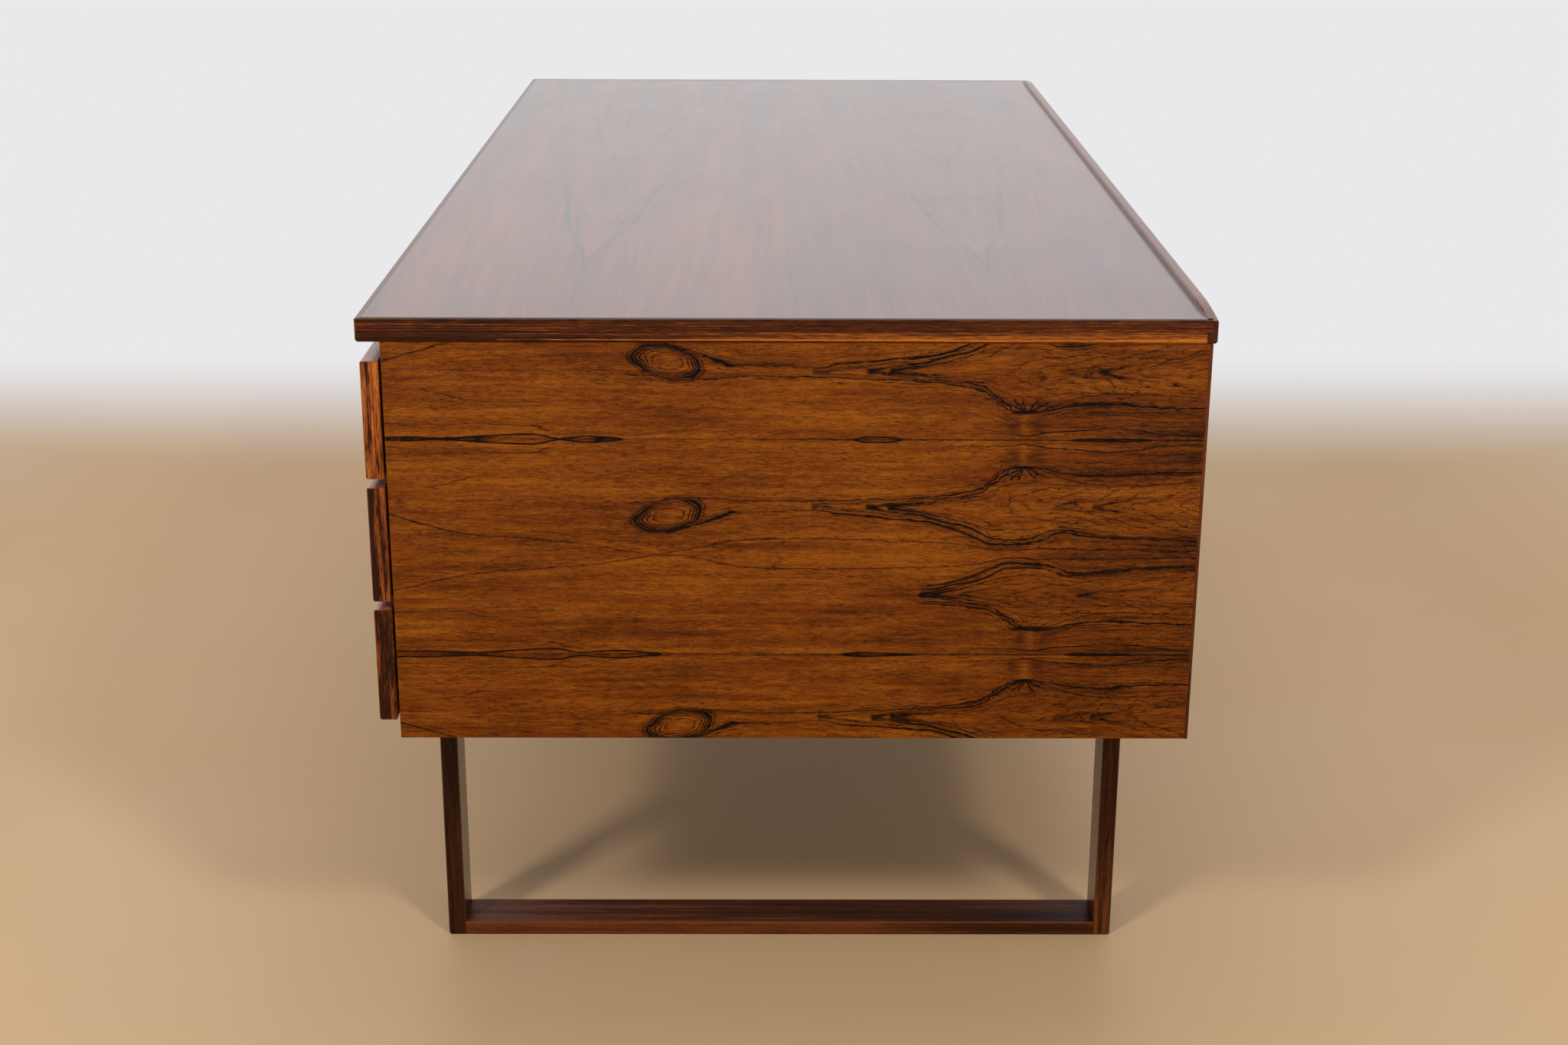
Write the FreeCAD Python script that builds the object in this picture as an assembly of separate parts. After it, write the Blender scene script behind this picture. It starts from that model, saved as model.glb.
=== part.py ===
import FreeCAD, Part
import math
import os

# Freestanding writing desk. A board top with a raised rear lip lies on two drawer pedestals; behind
# the drawers and behind the knee space the case is an open bookcase. Two closed sled frames carry it.
# The user sits on the -Y side, +X is at the user's right hand and +Z is up. The origin is on the floor
# under the middle of the top. All lengths are millimetres.

Vec = FreeCAD.Vector
X_AXIS = Vec(1, 0, 0)
Y_AXIS = Vec(0, 1, 0)
Z_AXIS = Vec(0, 0, 1)
SIDES = {"left": -1, "right": 1}

# Top: a veneered board with solid strips on its four edges
TOP_LENGTH = 1600.0
TOP_DEPTH = 780.0
DESK_HEIGHT = 720.0
TOP_THICKNESS = 22.0
EDGE_STRIP_WIDTH = 6.0
REAR_STRIP_WIDTH = 10.0
TOP_CORNER_ROUND = 2.5
TOP_UPPER_ROUND = 1.5
TOP_LOWER_ROUND = 3.0
LAP_LENGTH = 5.0
LAP_HEIGHT = 11.0
LIP_RISE = 5.5
LIP_RUNOUT = 75.0
LIP_CREST_ROUND = 2.2

# Case: upright panels, bottoms and backs
CASE_HEIGHT = 390.0
CASE_FRONT_SETBACK = 22.0
CASE_REAR_SETBACK = 3.5
CASE_END_SETBACK = 1.5
PANEL_THICKNESS = 20.0
PANEL_STRIP_WIDTH = 3.0
PANEL_EDGE_BEVEL = 0.7
PEDESTAL_WIDTH = 450.0
BOTTOM_THICKNESS = 18.0
BACK_THICKNESS = 16.0
BOOKCASE_DEPTH = 250.0
TONGUE_THICKNESS = 6.0
TONGUE_LENGTH = 6.0
TONGUE_STOP = 15.0

# Bookcase shelves, loose on round pins
SHELF_THICKNESS = 14.0
SHELF_END_CLEARANCE = 0.5
SHELF_REAR_INSET = 12.0
SHELF_BACK_CLEARANCE = 1.0
SHELF_EDGE_ROUND = 1.5
SHELF_HEIGHT_SHARE = 0.5
SHELF_PIN_DIAMETER = 6.0
SHELF_PIN_SIDES = 8
SHELF_PIN_DEPTH = 8.0
SHELF_PIN_PROJECTION = 10.0
SHELF_PIN_SETBACK = 35.0

# Dowels between the panels and the top
DOWEL_DIAMETER = 6.0
DOWEL_SIDES = 6
DOWEL_IN_TOP = 12.0
DOWEL_IN_PANEL = 18.0
DOWEL_END_ROOM = 1.0
DOWEL_PLACE_SHARES = (0.12, 0.5, 0.88)

# Drawers: three equal rows in each pedestal, the fronts laid over the panels' front edges
ROW_NAMES = ("bottom", "middle", "top")
FRONT_THICKNESS = 17.0
FRONT_STANDOFF = 2.5
FRONT_GAP = 8.5
GAP_OVER_FRONTS = 18.0
MARGIN_UNDER_FRONTS = 19.0
FRONT_FACE_ROUND = 2.5
FRONT_BACK_BEVEL = 0.8
SCOOP_WIDTH = 130.0
SCOOP_DEPTH = 16.0
SCOOP_BLEND_RADIUS = 10.0
BOX_TOP_DROP = 12.0
BOX_BASE_RISE = 5.0
BOX_SIDE_CLEARANCE = 1.5
BOX_REAR_ROOM = 24.0
BOX_SIDE_THICKNESS = 12.0
BOX_BACK_THICKNESS = 12.0
BOX_BOTTOM_THICKNESS = 5.0
BOX_BOTTOM_HEIGHT = 7.0
BOX_BOTTOM_GROOVE = 6.0
BOX_BOTTOM_PLAY = 0.3

# Dovetails: one long sliding tail at the front of each box side, and a row of tails at its rear
SLIDING_TAIL_DEPTH = 8.0
SLIDING_TAIL_NECK = 7.5
TAIL_SLOPE_DEGREES = 10.0
TAIL_COUNT = 3
PIN_NARROW_WIDTH = 6.0

# Wooden runners housed in the panels, each in a groove of a box side
RUNNER_HEIGHT = 13.0
RUNNER_PLAY = 0.6
RUNNER_HOUSING = 4.0
RUNNER_GROOVE_DEPTH = 6.5
RUNNER_TIP_CLEARANCE = 0.5
RUNNER_FRONT_INSET = 22.0
RUNNER_REAR_INSET = 10.0
RUNNER_STOP_CLEARANCE = 0.3

# Sled frames
SLED_END_INSET = 173.0
SLED_FRONT_INSET = 31.5
SLED_REAR_INSET = 38.5
SLED_BAR_DEPTH = 52.0
LEG_THICKNESS = 18.0
FLOOR_RAIL_THICKNESS = 15.0
TOP_RAIL_THICKNESS = 18.0
SLED_EDGE_BEVEL = 1.0
SLED_CORNER_ROUND = 3.0
TENON_THICKNESS = 7.0
TENON_LENGTH = 12.0
TENON_SHOULDER = 8.0
SCREW_SHANK_DIAMETER = 4.5
SCREW_HEAD_DIAMETER = 9.0
SCREW_HEAD_HEIGHT = 3.2
SCREW_IN_BOTTOM = 14.0
SCREW_SIDES = 6
SCREW_PLACE_SHARES = (0.1, 0.37, 0.63, 0.9)

# Fits and cuts
HOLE_CLEARANCE = 0.1
CUT_OVERRUN = 5.0
SAME_PLACE = 0.01

# Levels and planes that follow from the sizes above
TOP_HALF = TOP_LENGTH / 2
TOP_FRONT = -TOP_DEPTH / 2
TOP_REAR = TOP_DEPTH / 2
TOP_UNDERSIDE = DESK_HEIGHT - TOP_THICKNESS
END_SEAM = TOP_HALF - EDGE_STRIP_WIDTH
FRONT_SEAM = TOP_FRONT + EDGE_STRIP_WIDTH
REAR_SEAM = TOP_REAR - REAR_STRIP_WIDTH
MITRE_X = TOP_HALF + CUT_OVERRUN
MITRE_Y = TOP_FRONT - CUT_OVERRUN
LIP_CREST = DESK_HEIGHT + LIP_RISE

CASE_BASE = TOP_UNDERSIDE - CASE_HEIGHT
CASE_FLOOR = CASE_BASE + BOTTOM_THICKNESS
CASE_FRONT = TOP_FRONT + CASE_FRONT_SETBACK
CASE_REAR = TOP_REAR - CASE_REAR_SETBACK
CASE_DEPTH = CASE_REAR - CASE_FRONT
CASE_END = TOP_HALF - CASE_END_SETBACK
KNEE_HALF = CASE_END - PEDESTAL_WIDTH
PANEL_SEAM = CASE_REAR - PANEL_STRIP_WIDTH
END_PANEL_INNER = CASE_END - PANEL_THICKNESS
INNER_PANEL_OUTER = KNEE_HALF + PANEL_THICKNESS
PEDESTAL_CENTRE = (CASE_END + KNEE_HALF) / 2
BACK_REAR = CASE_REAR - BOOKCASE_DEPTH
BACK_FRONT = BACK_REAR - BACK_THICKNESS

ROW_COUNT = len(ROW_NAMES)
FRONTS_SPAN = CASE_HEIGHT - GAP_OVER_FRONTS - MARGIN_UNDER_FRONTS
FRONT_HEIGHT = (FRONTS_SPAN - (ROW_COUNT - 1) * FRONT_GAP) / ROW_COUNT
FRONT_BACK_FACE = CASE_FRONT - FRONT_STANDOFF
FRONT_FACE = FRONT_BACK_FACE - FRONT_THICKNESS
BOX_HEIGHT = FRONT_HEIGHT - BOX_TOP_DROP - BOX_BASE_RISE
BOX_TOP = BOX_BASE_RISE + BOX_HEIGHT
BOX_HALF = (END_PANEL_INNER - INNER_PANEL_OUTER) / 2 - BOX_SIDE_CLEARANCE
BOX_INNER_HALF = BOX_HALF - BOX_SIDE_THICKNESS
BOX_REAR = BACK_FRONT - BOX_REAR_ROOM
BOX_BACK_FACE = BOX_REAR - BOX_BACK_THICKNESS
BOX_BOTTOM_BASE = BOX_BASE_RISE + BOX_BOTTOM_HEIGHT
BOX_BACK_BASE = BOX_BOTTOM_BASE + BOX_BOTTOM_THICKNESS
BOX_BACK_HEIGHT = BOX_TOP - BOX_BACK_BASE
TAIL_SLOPE = math.tan(math.radians(TAIL_SLOPE_DEGREES))

RUNNER_MIDDLE = BOX_BACK_BASE + BOX_BACK_HEIGHT / 2
RUNNER_FRONT = CASE_FRONT + RUNNER_FRONT_INSET
RUNNER_REAR = BACK_FRONT - RUNNER_REAR_INSET
RUNNER_PROJECTION = BOX_SIDE_CLEARANCE + RUNNER_GROOVE_DEPTH - RUNNER_TIP_CLEARANCE

SHELF_BASE = CASE_FLOOR + (TOP_UNDERSIDE - CASE_FLOOR - SHELF_THICKNESS) * SHELF_HEIGHT_SHARE
SHELF_FRONT = BACK_REAR + SHELF_BACK_CLEARANCE
SHELF_REAR = CASE_REAR - SHELF_REAR_INSET

SLED_OUTER = TOP_HALF - SLED_END_INSET
SLED_INNER = SLED_OUTER - SLED_BAR_DEPTH
SLED_FRONT = TOP_FRONT + SLED_FRONT_INSET
SLED_REAR = TOP_REAR - SLED_REAR_INSET
RAIL_FRONT = SLED_FRONT + LEG_THICKNESS
RAIL_REAR = SLED_REAR - LEG_THICKNESS


def block(x, y, z):
    """A box between two limits on each axis, each pair in either order."""
    low = Vec(min(x), min(y), min(z))
    size = Vec(max(x), max(y), max(z)) - low
    return Part.makeBox(size.x, size.y, size.z, low)


def prism(points, along):
    """A closed outline of straight lines, extruded."""
    outline = Part.makePolygon(points + points[:1])
    return Part.Face(outline).extrude(along)


def one_solid(shape):
    """The single solid of a boolean result, with its split faces joined again."""
    return shape.removeSplitter().Solids[0]


def rounded(shape, radius, chosen):
    """The shape with every edge that the test chooses rounded."""
    return shape.makeFillet(radius, [edge for edge in shape.Edges if chosen(edge)])


def bevelled(shape, width, chosen):
    """The shape with every edge that the test chooses bevelled."""
    return shape.makeChamfer(width, [edge for edge in shape.Edges if chosen(edge)])


def sided_outline(middle, direction, radius, sides):
    """A regular outline in a circle round a point, square to a direction that is itself square to Y."""
    across = direction.cross(Y_AXIS)
    turns = [2 * math.pi * count / sides for count in range(sides)]
    corners = [middle + (Y_AXIS * math.cos(turn) + across * math.sin(turn)) * radius for turn in turns]
    return Part.makePolygon(corners + corners[:1])


def sided_bar(start, direction, length, radius, sides):
    """A pin or its hole, near round, with a fixed count of flat sides."""
    return Part.Face(sided_outline(start, direction, radius, sides)).extrude(direction * length)


def lies_on(edge, axis, level):
    """True if the whole edge is at one level along an axis."""
    box = edge.BoundBox
    ends = {"x": (box.XMin, box.XMax), "y": (box.YMin, box.YMax), "z": (box.ZMin, box.ZMax)}[axis]
    return all(abs(end - level) < SAME_PLACE for end in ends)


def runs_along(edge, direction):
    """True for a straight edge parallel to a direction."""
    return isinstance(edge.Curve, Part.Line) and edge.Curve.Direction.cross(direction).Length < SAME_PLACE


def centred_in(limits, thickness):
    """The two limits of a thickness laid in the middle of a range."""
    centre = sum(limits) / 2
    return (centre - thickness / 2, centre + thickness / 2)


# The top

def top_blank():
    """The whole top before its strips are parted from it, rounded on all but its rear edges."""
    blank = block((-TOP_HALF, TOP_HALF), (TOP_FRONT, TOP_REAR), (TOP_UNDERSIDE, DESK_HEIGHT))
    blank = rounded(blank, TOP_CORNER_ROUND, lambda e: runs_along(e, Z_AXIS) and lies_on(e, "y", TOP_FRONT))
    for level, radius in ((DESK_HEIGHT, TOP_UPPER_ROUND), (TOP_UNDERSIDE, TOP_LOWER_ROUND)):
        blank = rounded(blank, radius, lambda e: lies_on(e, "z", level) and not lies_on(e, "y", TOP_REAR))
    return blank


def strip_region(plan):
    """The full height of the top over a plan outline."""
    low = TOP_UNDERSIDE - CUT_OVERRUN
    return prism([Vec(x, y, low) for x, y in plan], Z_AXIS * (TOP_THICKNESS + 2 * CUT_OVERRUN))


def lap_region(side):
    """Where the upper half of an end strip laps into the end of the rear strip."""
    return block((side * END_SEAM, side * MITRE_X), (REAR_SEAM, REAR_SEAM + LAP_LENGTH),
                 (DESK_HEIGHT - LAP_HEIGHT, DESK_HEIGHT + CUT_OVERRUN))


def front_strip(blank):
    """The front strip, mitred at both ends."""
    plan = [(-MITRE_X, MITRE_Y), (MITRE_X, MITRE_Y), (END_SEAM, FRONT_SEAM), (-END_SEAM, FRONT_SEAM)]
    return one_solid(blank.common(strip_region(plan)))


def end_strip(blank, side):
    """An end strip, mitred into the front strip and lapped into the rear one."""
    inner = side * END_SEAM
    outer = side * MITRE_X
    plan = [(outer, MITRE_Y), (inner, FRONT_SEAM), (inner, REAR_SEAM), (outer, REAR_SEAM)]
    return one_solid(blank.common(strip_region(plan).fuse(lap_region(side))))


def top_board():
    """The veneered board inside the strips, with the dowels' holes in its underside."""
    board = block((-END_SEAM, END_SEAM), (FRONT_SEAM, REAR_SEAM), (TOP_UNDERSIDE, DESK_HEIGHT))
    return one_solid(board.cut(Part.makeCompound([dowel_hole(place) for place in dowel_places()])))


def rear_lip_outline():
    """The rear strip seen from behind: level along its crest, with a long arc down at each end."""
    flat = TOP_HALF - LIP_RUNOUT
    radius = (LIP_RUNOUT ** 2 + LIP_RISE ** 2) / (2 * LIP_RISE)
    half_turn = math.asin(LIP_RUNOUT / radius) / 2
    arc_x = flat + radius * math.sin(half_turn)
    arc_z = LIP_CREST - radius + radius * math.cos(half_turn)

    def at(x, z):
        return Vec(x, REAR_SEAM, z)

    return Part.Wire([
        Part.makeLine(at(-TOP_HALF, TOP_UNDERSIDE), at(TOP_HALF, TOP_UNDERSIDE)),
        Part.makeLine(at(TOP_HALF, TOP_UNDERSIDE), at(TOP_HALF, DESK_HEIGHT)),
        Part.Arc(at(TOP_HALF, DESK_HEIGHT), at(arc_x, arc_z), at(flat, LIP_CREST)).toShape(),
        Part.makeLine(at(flat, LIP_CREST), at(-flat, LIP_CREST)),
        Part.Arc(at(-flat, LIP_CREST), at(-arc_x, arc_z), at(-TOP_HALF, DESK_HEIGHT)).toShape(),
        Part.makeLine(at(-TOP_HALF, DESK_HEIGHT), at(-TOP_HALF, TOP_UNDERSIDE)),
    ])


def rear_lip():
    """The rear strip with its outer edges rounded, notched at both ends for the end strips."""
    strip = Part.Face(rear_lip_outline()).extrude(Y_AXIS * REAR_STRIP_WIDTH)
    strip = rounded(strip, TOP_CORNER_ROUND, lambda e: runs_along(e, Z_AXIS) and lies_on(e, "y", TOP_REAR))
    strip = rounded(strip, LIP_CREST_ROUND, lambda e: runs_along(e, X_AXIS) and lies_on(e, "z", LIP_CREST))
    strip = rounded(strip, TOP_LOWER_ROUND, lambda e: runs_along(e, X_AXIS) and lies_on(e, "y", TOP_REAR)
                    and lies_on(e, "z", TOP_UNDERSIDE))
    for side in SIDES.values():
        strip = strip.cut(lap_region(side))
    return one_solid(strip)


# Dowels, shelf pins and runners

def dowel_places():
    """The plan places of the dowels: the middle of each panel, at shares of the case's depth."""
    middles = (CASE_END - PANEL_THICKNESS / 2, KNEE_HALF + PANEL_THICKNESS / 2)
    return [(side * middle, CASE_FRONT + share * CASE_DEPTH)
            for side in SIDES.values() for middle in middles for share in DOWEL_PLACE_SHARES]


def dowel_hole(place):
    """The hole for one dowel through both pieces, with room at its ends."""
    low = TOP_UNDERSIDE - DOWEL_IN_PANEL - DOWEL_END_ROOM
    length = DOWEL_IN_PANEL + DOWEL_IN_TOP + 2 * DOWEL_END_ROOM
    radius = DOWEL_DIAMETER / 2 + HOLE_CLEARANCE
    return sided_bar(Vec(place[0], place[1], low), Z_AXIS, length, radius, DOWEL_SIDES)


def dowels():
    """The dowels that hold the top on the panels."""
    low = TOP_UNDERSIDE - DOWEL_IN_PANEL
    length = DOWEL_IN_PANEL + DOWEL_IN_TOP
    radius = DOWEL_DIAMETER / 2
    return [sided_bar(Vec(x, y, low), Z_AXIS, length, radius, DOWEL_SIDES) for x, y in dowel_places()]


def bay_walls():
    """The X limits of the three bookcase bays."""
    return {"left": (-END_PANEL_INNER, -INNER_PANEL_OUTER), "centre": (-KNEE_HALF, KNEE_HALF),
            "right": (INNER_PANEL_OUTER, END_PANEL_INNER)}


def shelf_pin_places():
    """Where each shelf pin leaves its panel, and the way that it points."""
    level = SHELF_BASE - SHELF_PIN_DIAMETER / 2
    rows = (SHELF_FRONT + SHELF_PIN_SETBACK, SHELF_REAR - SHELF_PIN_SETBACK)
    return [(Vec(wall, y, level), X_AXIS * outward)
            for walls in bay_walls().values() for wall, outward in zip(walls, (1, -1)) for y in rows]


def shelf_pin_hole(wall, outward):
    """The blind hole for a shelf pin."""
    radius = SHELF_PIN_DIAMETER / 2 + HOLE_CLEARANCE
    return sided_bar(wall - outward * SHELF_PIN_DEPTH, outward, SHELF_PIN_DEPTH, radius, SHELF_PIN_SIDES)


def shelf_pin(wall, outward):
    """A round pin, partly in its panel and partly under the shelf."""
    length = SHELF_PIN_DEPTH + SHELF_PIN_PROJECTION
    radius = SHELF_PIN_DIAMETER / 2
    return sided_bar(wall - outward * SHELF_PIN_DEPTH, outward, length, radius, SHELF_PIN_SIDES)


def row_base(row):
    """The height of the lower edge of a row's drawer front."""
    return CASE_BASE + MARGIN_UNDER_FRONTS + row * (FRONT_HEIGHT + FRONT_GAP)


def pedestal_runners(side):
    """The three pairs of runners of one pedestal, each housed in its panel."""
    made = []
    for wall, inward in ((END_PANEL_INNER, -1), (INNER_PANEL_OUTER, 1)):
        x = (side * (wall - inward * RUNNER_HOUSING), side * (wall + inward * RUNNER_PROJECTION))
        for row in range(ROW_COUNT):
            middle = row_base(row) + RUNNER_MIDDLE
            z = (middle - RUNNER_HEIGHT / 2, middle + RUNNER_HEIGHT / 2)
            made.append(block(x, (RUNNER_FRONT, RUNNER_REAR), z))
    return made


# The case

def flat_board(x, y, z):
    """A level board with a stopped tongue along each end, which the panels' grooves take."""
    tongue_x = (min(x) - TONGUE_LENGTH, max(x) + TONGUE_LENGTH)
    tongue_y = (min(y) + TONGUE_STOP, max(y) - TONGUE_STOP)
    tongue = block(tongue_x, tongue_y, centred_in(z, TONGUE_THICKNESS))
    return one_solid(block(x, y, z).fuse(tongue))


def upright_back(x, low):
    """A back board between two panels, with a stopped tongue along each upright end."""
    y = (BACK_FRONT, BACK_REAR)
    tongue_x = (min(x) - TONGUE_LENGTH, max(x) + TONGUE_LENGTH)
    tongue_z = (low + TONGUE_STOP, TOP_UNDERSIDE - TONGUE_STOP)
    tongue = block(tongue_x, centred_in(y, TONGUE_THICKNESS), tongue_z)
    return one_solid(block(x, y, (low, TOP_UNDERSIDE)).fuse(tongue))


def pedestal_walls(side):
    """The X limits between the two panels of a pedestal."""
    return (side * INNER_PANEL_OUTER, side * END_PANEL_INNER)


def pedestal_bottom(side):
    """The bottom between the two panels of a pedestal, drilled for the sled's screws."""
    board = flat_board(pedestal_walls(side), (CASE_FRONT, CASE_REAR), (CASE_BASE, CASE_FLOOR))
    return one_solid(board.cut(Part.makeCompound(screw_holes(side))))


def pedestal_back(side):
    """The board between a pedestal's drawers and its bookcase bay."""
    return upright_back(pedestal_walls(side), CASE_FLOOR)


def centre_bottom():
    """The bottom of the bookcase bay behind the knee space."""
    return flat_board((-KNEE_HALF, KNEE_HALF), (BACK_REAR, CASE_REAR), (CASE_BASE, CASE_FLOOR))


def centre_back():
    """The board between the knee space and its bookcase bay."""
    return upright_back((-KNEE_HALF, KNEE_HALF), CASE_BASE)


def joinery(side):
    """All that the panels of one side are cut for."""
    pieces = pedestal_runners(side)
    pieces += [pedestal_bottom(side), pedestal_back(side), centre_bottom(), centre_back()]
    pieces += [shelf_pin_hole(wall, outward) for wall, outward in shelf_pin_places()]
    pieces += [dowel_hole(place) for place in dowel_places()]
    return Part.makeCompound(pieces)


def case_panel(side, near, far, cuts):
    """An upright panel between two distances from the desk's middle, its open edges bevelled."""
    board = block((side * near, side * far), (CASE_FRONT, PANEL_SEAM), (CASE_BASE, TOP_UNDERSIDE))

    def chosen(edge):
        front = runs_along(edge, Z_AXIS) and lies_on(edge, "y", CASE_FRONT)
        below = runs_along(edge, Y_AXIS) and lies_on(edge, "z", CASE_BASE)
        under_overhang = runs_along(edge, Y_AXIS) and lies_on(edge, "x", side * CASE_END)
        return front or below or under_overhang

    return one_solid(bevelled(board, PANEL_EDGE_BEVEL, chosen).cut(cuts))


def panel_edge_strips():
    """The solid strips on the rear edges of the four panels."""
    strips = []
    for side in SIDES.values():
        for near, far in ((END_PANEL_INNER, CASE_END), (KNEE_HALF, INNER_PANEL_OUTER)):
            strip = block((side * near, side * far), (PANEL_SEAM, CASE_REAR), (CASE_BASE, TOP_UNDERSIDE))
            strips.append(bevelled(strip, PANEL_EDGE_BEVEL, lambda e: lies_on(e, "y", CASE_REAR)))
    return strips


def shelf(walls):
    """A shelf that lies loose on its pins, with its rear edge rounded."""
    board = block((walls[0] + SHELF_END_CLEARANCE, walls[1] - SHELF_END_CLEARANCE), (SHELF_FRONT, SHELF_REAR),
                  (SHELF_BASE, SHELF_BASE + SHELF_THICKNESS))
    return rounded(board, SHELF_EDGE_ROUND, lambda e: runs_along(e, X_AXIS) and lies_on(e, "y", SHELF_REAR))


# The drawers, made in the middle of the desk with the front's lower edge on z = 0

def scooped_outline():
    """The front's outline: a rectangle with a finger scoop in the middle of its upper edge."""
    half = PEDESTAL_WIDTH / 2
    reach = SCOOP_WIDTH / 2
    centre_distance = (reach ** 2 + SCOOP_DEPTH ** 2) / (2 * SCOOP_DEPTH)
    radius = centre_distance - SCOOP_BLEND_RADIUS
    scoop_low = FRONT_HEIGHT - SCOOP_DEPTH
    scoop_centre = scoop_low + radius
    blend_centre = FRONT_HEIGHT - SCOOP_BLEND_RADIUS
    share = radius / centre_distance
    meet_x = reach * share
    meet_z = scoop_centre + (blend_centre - scoop_centre) * share
    turn = math.atan2(meet_x - reach, meet_z - blend_centre) / 2
    blend_x = reach + SCOOP_BLEND_RADIUS * math.sin(turn)
    blend_z = blend_centre + SCOOP_BLEND_RADIUS * math.cos(turn)

    def at(x, z):
        return Vec(x, FRONT_FACE, z)

    return Part.Wire([
        Part.makeLine(at(-half, 0), at(half, 0)),
        Part.makeLine(at(half, 0), at(half, FRONT_HEIGHT)),
        Part.makeLine(at(half, FRONT_HEIGHT), at(reach, FRONT_HEIGHT)),
        Part.Arc(at(reach, FRONT_HEIGHT), at(blend_x, blend_z), at(meet_x, meet_z)).toShape(),
        Part.Arc(at(meet_x, meet_z), at(0, scoop_low), at(-meet_x, meet_z)).toShape(),
        Part.Arc(at(-meet_x, meet_z), at(-blend_x, blend_z), at(-reach, FRONT_HEIGHT)).toShape(),
        Part.makeLine(at(-reach, FRONT_HEIGHT), at(-half, FRONT_HEIGHT)),
        Part.makeLine(at(-half, FRONT_HEIGHT), at(-half, 0)),
    ])


def sliding_tail(side, low):
    """The dovetail along a box side's front end, from a height up to the box's top."""
    middle = side * (BOX_HALF - BOX_SIDE_THICKNESS / 2)
    neck = SLIDING_TAIL_NECK / 2
    root = neck + SLIDING_TAIL_DEPTH * TAIL_SLOPE
    deep = FRONT_BACK_FACE - SLIDING_TAIL_DEPTH
    outline = [Vec(middle - neck, FRONT_BACK_FACE, low), Vec(middle + neck, FRONT_BACK_FACE, low),
               Vec(middle + root, deep, low), Vec(middle - root, deep, low)]
    return prism(outline, Z_AXIS * (BOX_TOP - low))


def bottom_groove():
    """The space that the bottom takes in the front and in both sides."""
    half = BOX_INNER_HALF + BOX_BOTTOM_GROOVE
    return block((-half, half), (FRONT_BACK_FACE - BOX_BOTTOM_GROOVE, BOX_REAR + CUT_OVERRUN),
                 (BOX_BOTTOM_BASE, BOX_BACK_BASE))


def drawer_bottom():
    """The thin bottom, let into the front and the sides and run in under the back."""
    half = BOX_INNER_HALF + BOX_BOTTOM_GROOVE - BOX_BOTTOM_PLAY
    return block((-half, half), (FRONT_BACK_FACE - BOX_BOTTOM_GROOVE + BOX_BOTTOM_PLAY, BOX_REAR),
                 (BOX_BOTTOM_BASE, BOX_BACK_BASE))


def drawer_front():
    """The front, grooved for the bottom and slotted from below for the sides' dovetails."""
    front = Part.Face(scooped_outline()).extrude(Y_AXIS * FRONT_THICKNESS)
    front = rounded(front, FRONT_FACE_ROUND, lambda e: lies_on(e, "y", FRONT_FACE))
    front = bevelled(front, FRONT_BACK_BEVEL, lambda e: lies_on(e, "y", FRONT_BACK_FACE))
    slots = [sliding_tail(side, -CUT_OVERRUN) for side in SIDES.values()]
    return one_solid(front.cut(Part.makeCompound(slots)).cut(bottom_groove()))


def back_pins(side):
    """The dovetail pins on one end of the box's back, with a half pin at each edge."""
    inner = side * BOX_INNER_HALF
    narrow = PIN_NARROW_WIDTH / 2
    wide = narrow + BOX_BACK_THICKNESS * TAIL_SLOPE
    pins = []
    for count in range(TAIL_COUNT + 1):
        level = BOX_BACK_BASE + count * BOX_BACK_HEIGHT / TAIL_COUNT
        outline = [Vec(inner, BOX_REAR, level - narrow), Vec(inner, BOX_REAR, level + narrow),
                   Vec(inner, BOX_BACK_FACE, level + wide), Vec(inner, BOX_BACK_FACE, level - wide)]
        pins.append(prism(outline, X_AXIS * (side * BOX_SIDE_THICKNESS)))
    end = block((inner, side * BOX_HALF), (BOX_BACK_FACE, BOX_REAR), (BOX_BACK_BASE, BOX_TOP))
    return Part.makeCompound(pins).common(end)


def drawer_back():
    """The back between the sides, with its dovetail pins."""
    board = block((-BOX_INNER_HALF, BOX_INNER_HALF), (BOX_BACK_FACE, BOX_REAR), (BOX_BACK_BASE, BOX_TOP))
    for side in SIDES.values():
        board = board.fuse(back_pins(side))
    return one_solid(board)


def drawer_side(side):
    """A side: the sliding tail in front, the tails behind, and grooves for the bottom and the runner."""
    board = block((side * BOX_INNER_HALF, side * BOX_HALF), (FRONT_BACK_FACE, BOX_REAR),
                  (BOX_BASE_RISE, BOX_TOP))
    board = board.fuse(sliding_tail(side, BOX_BASE_RISE))
    runner_top = RUNNER_MIDDLE + RUNNER_HEIGHT / 2
    groove = block((side * (BOX_HALF - RUNNER_GROOVE_DEPTH), side * (BOX_HALF + CUT_OVERRUN)),
                   (RUNNER_FRONT - RUNNER_STOP_CLEARANCE, BOX_REAR + CUT_OVERRUN),
                   (runner_top - RUNNER_HEIGHT - RUNNER_PLAY, runner_top))
    return one_solid(board.cut(groove).cut(bottom_groove()).cut(back_pins(side)))


def drawer():
    """The five pieces of a drawer."""
    return {"front": drawer_front(), "left_side": drawer_side(-1), "right_side": drawer_side(1),
            "back": drawer_back(), "bottom": drawer_bottom()}


# The sleds

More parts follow.
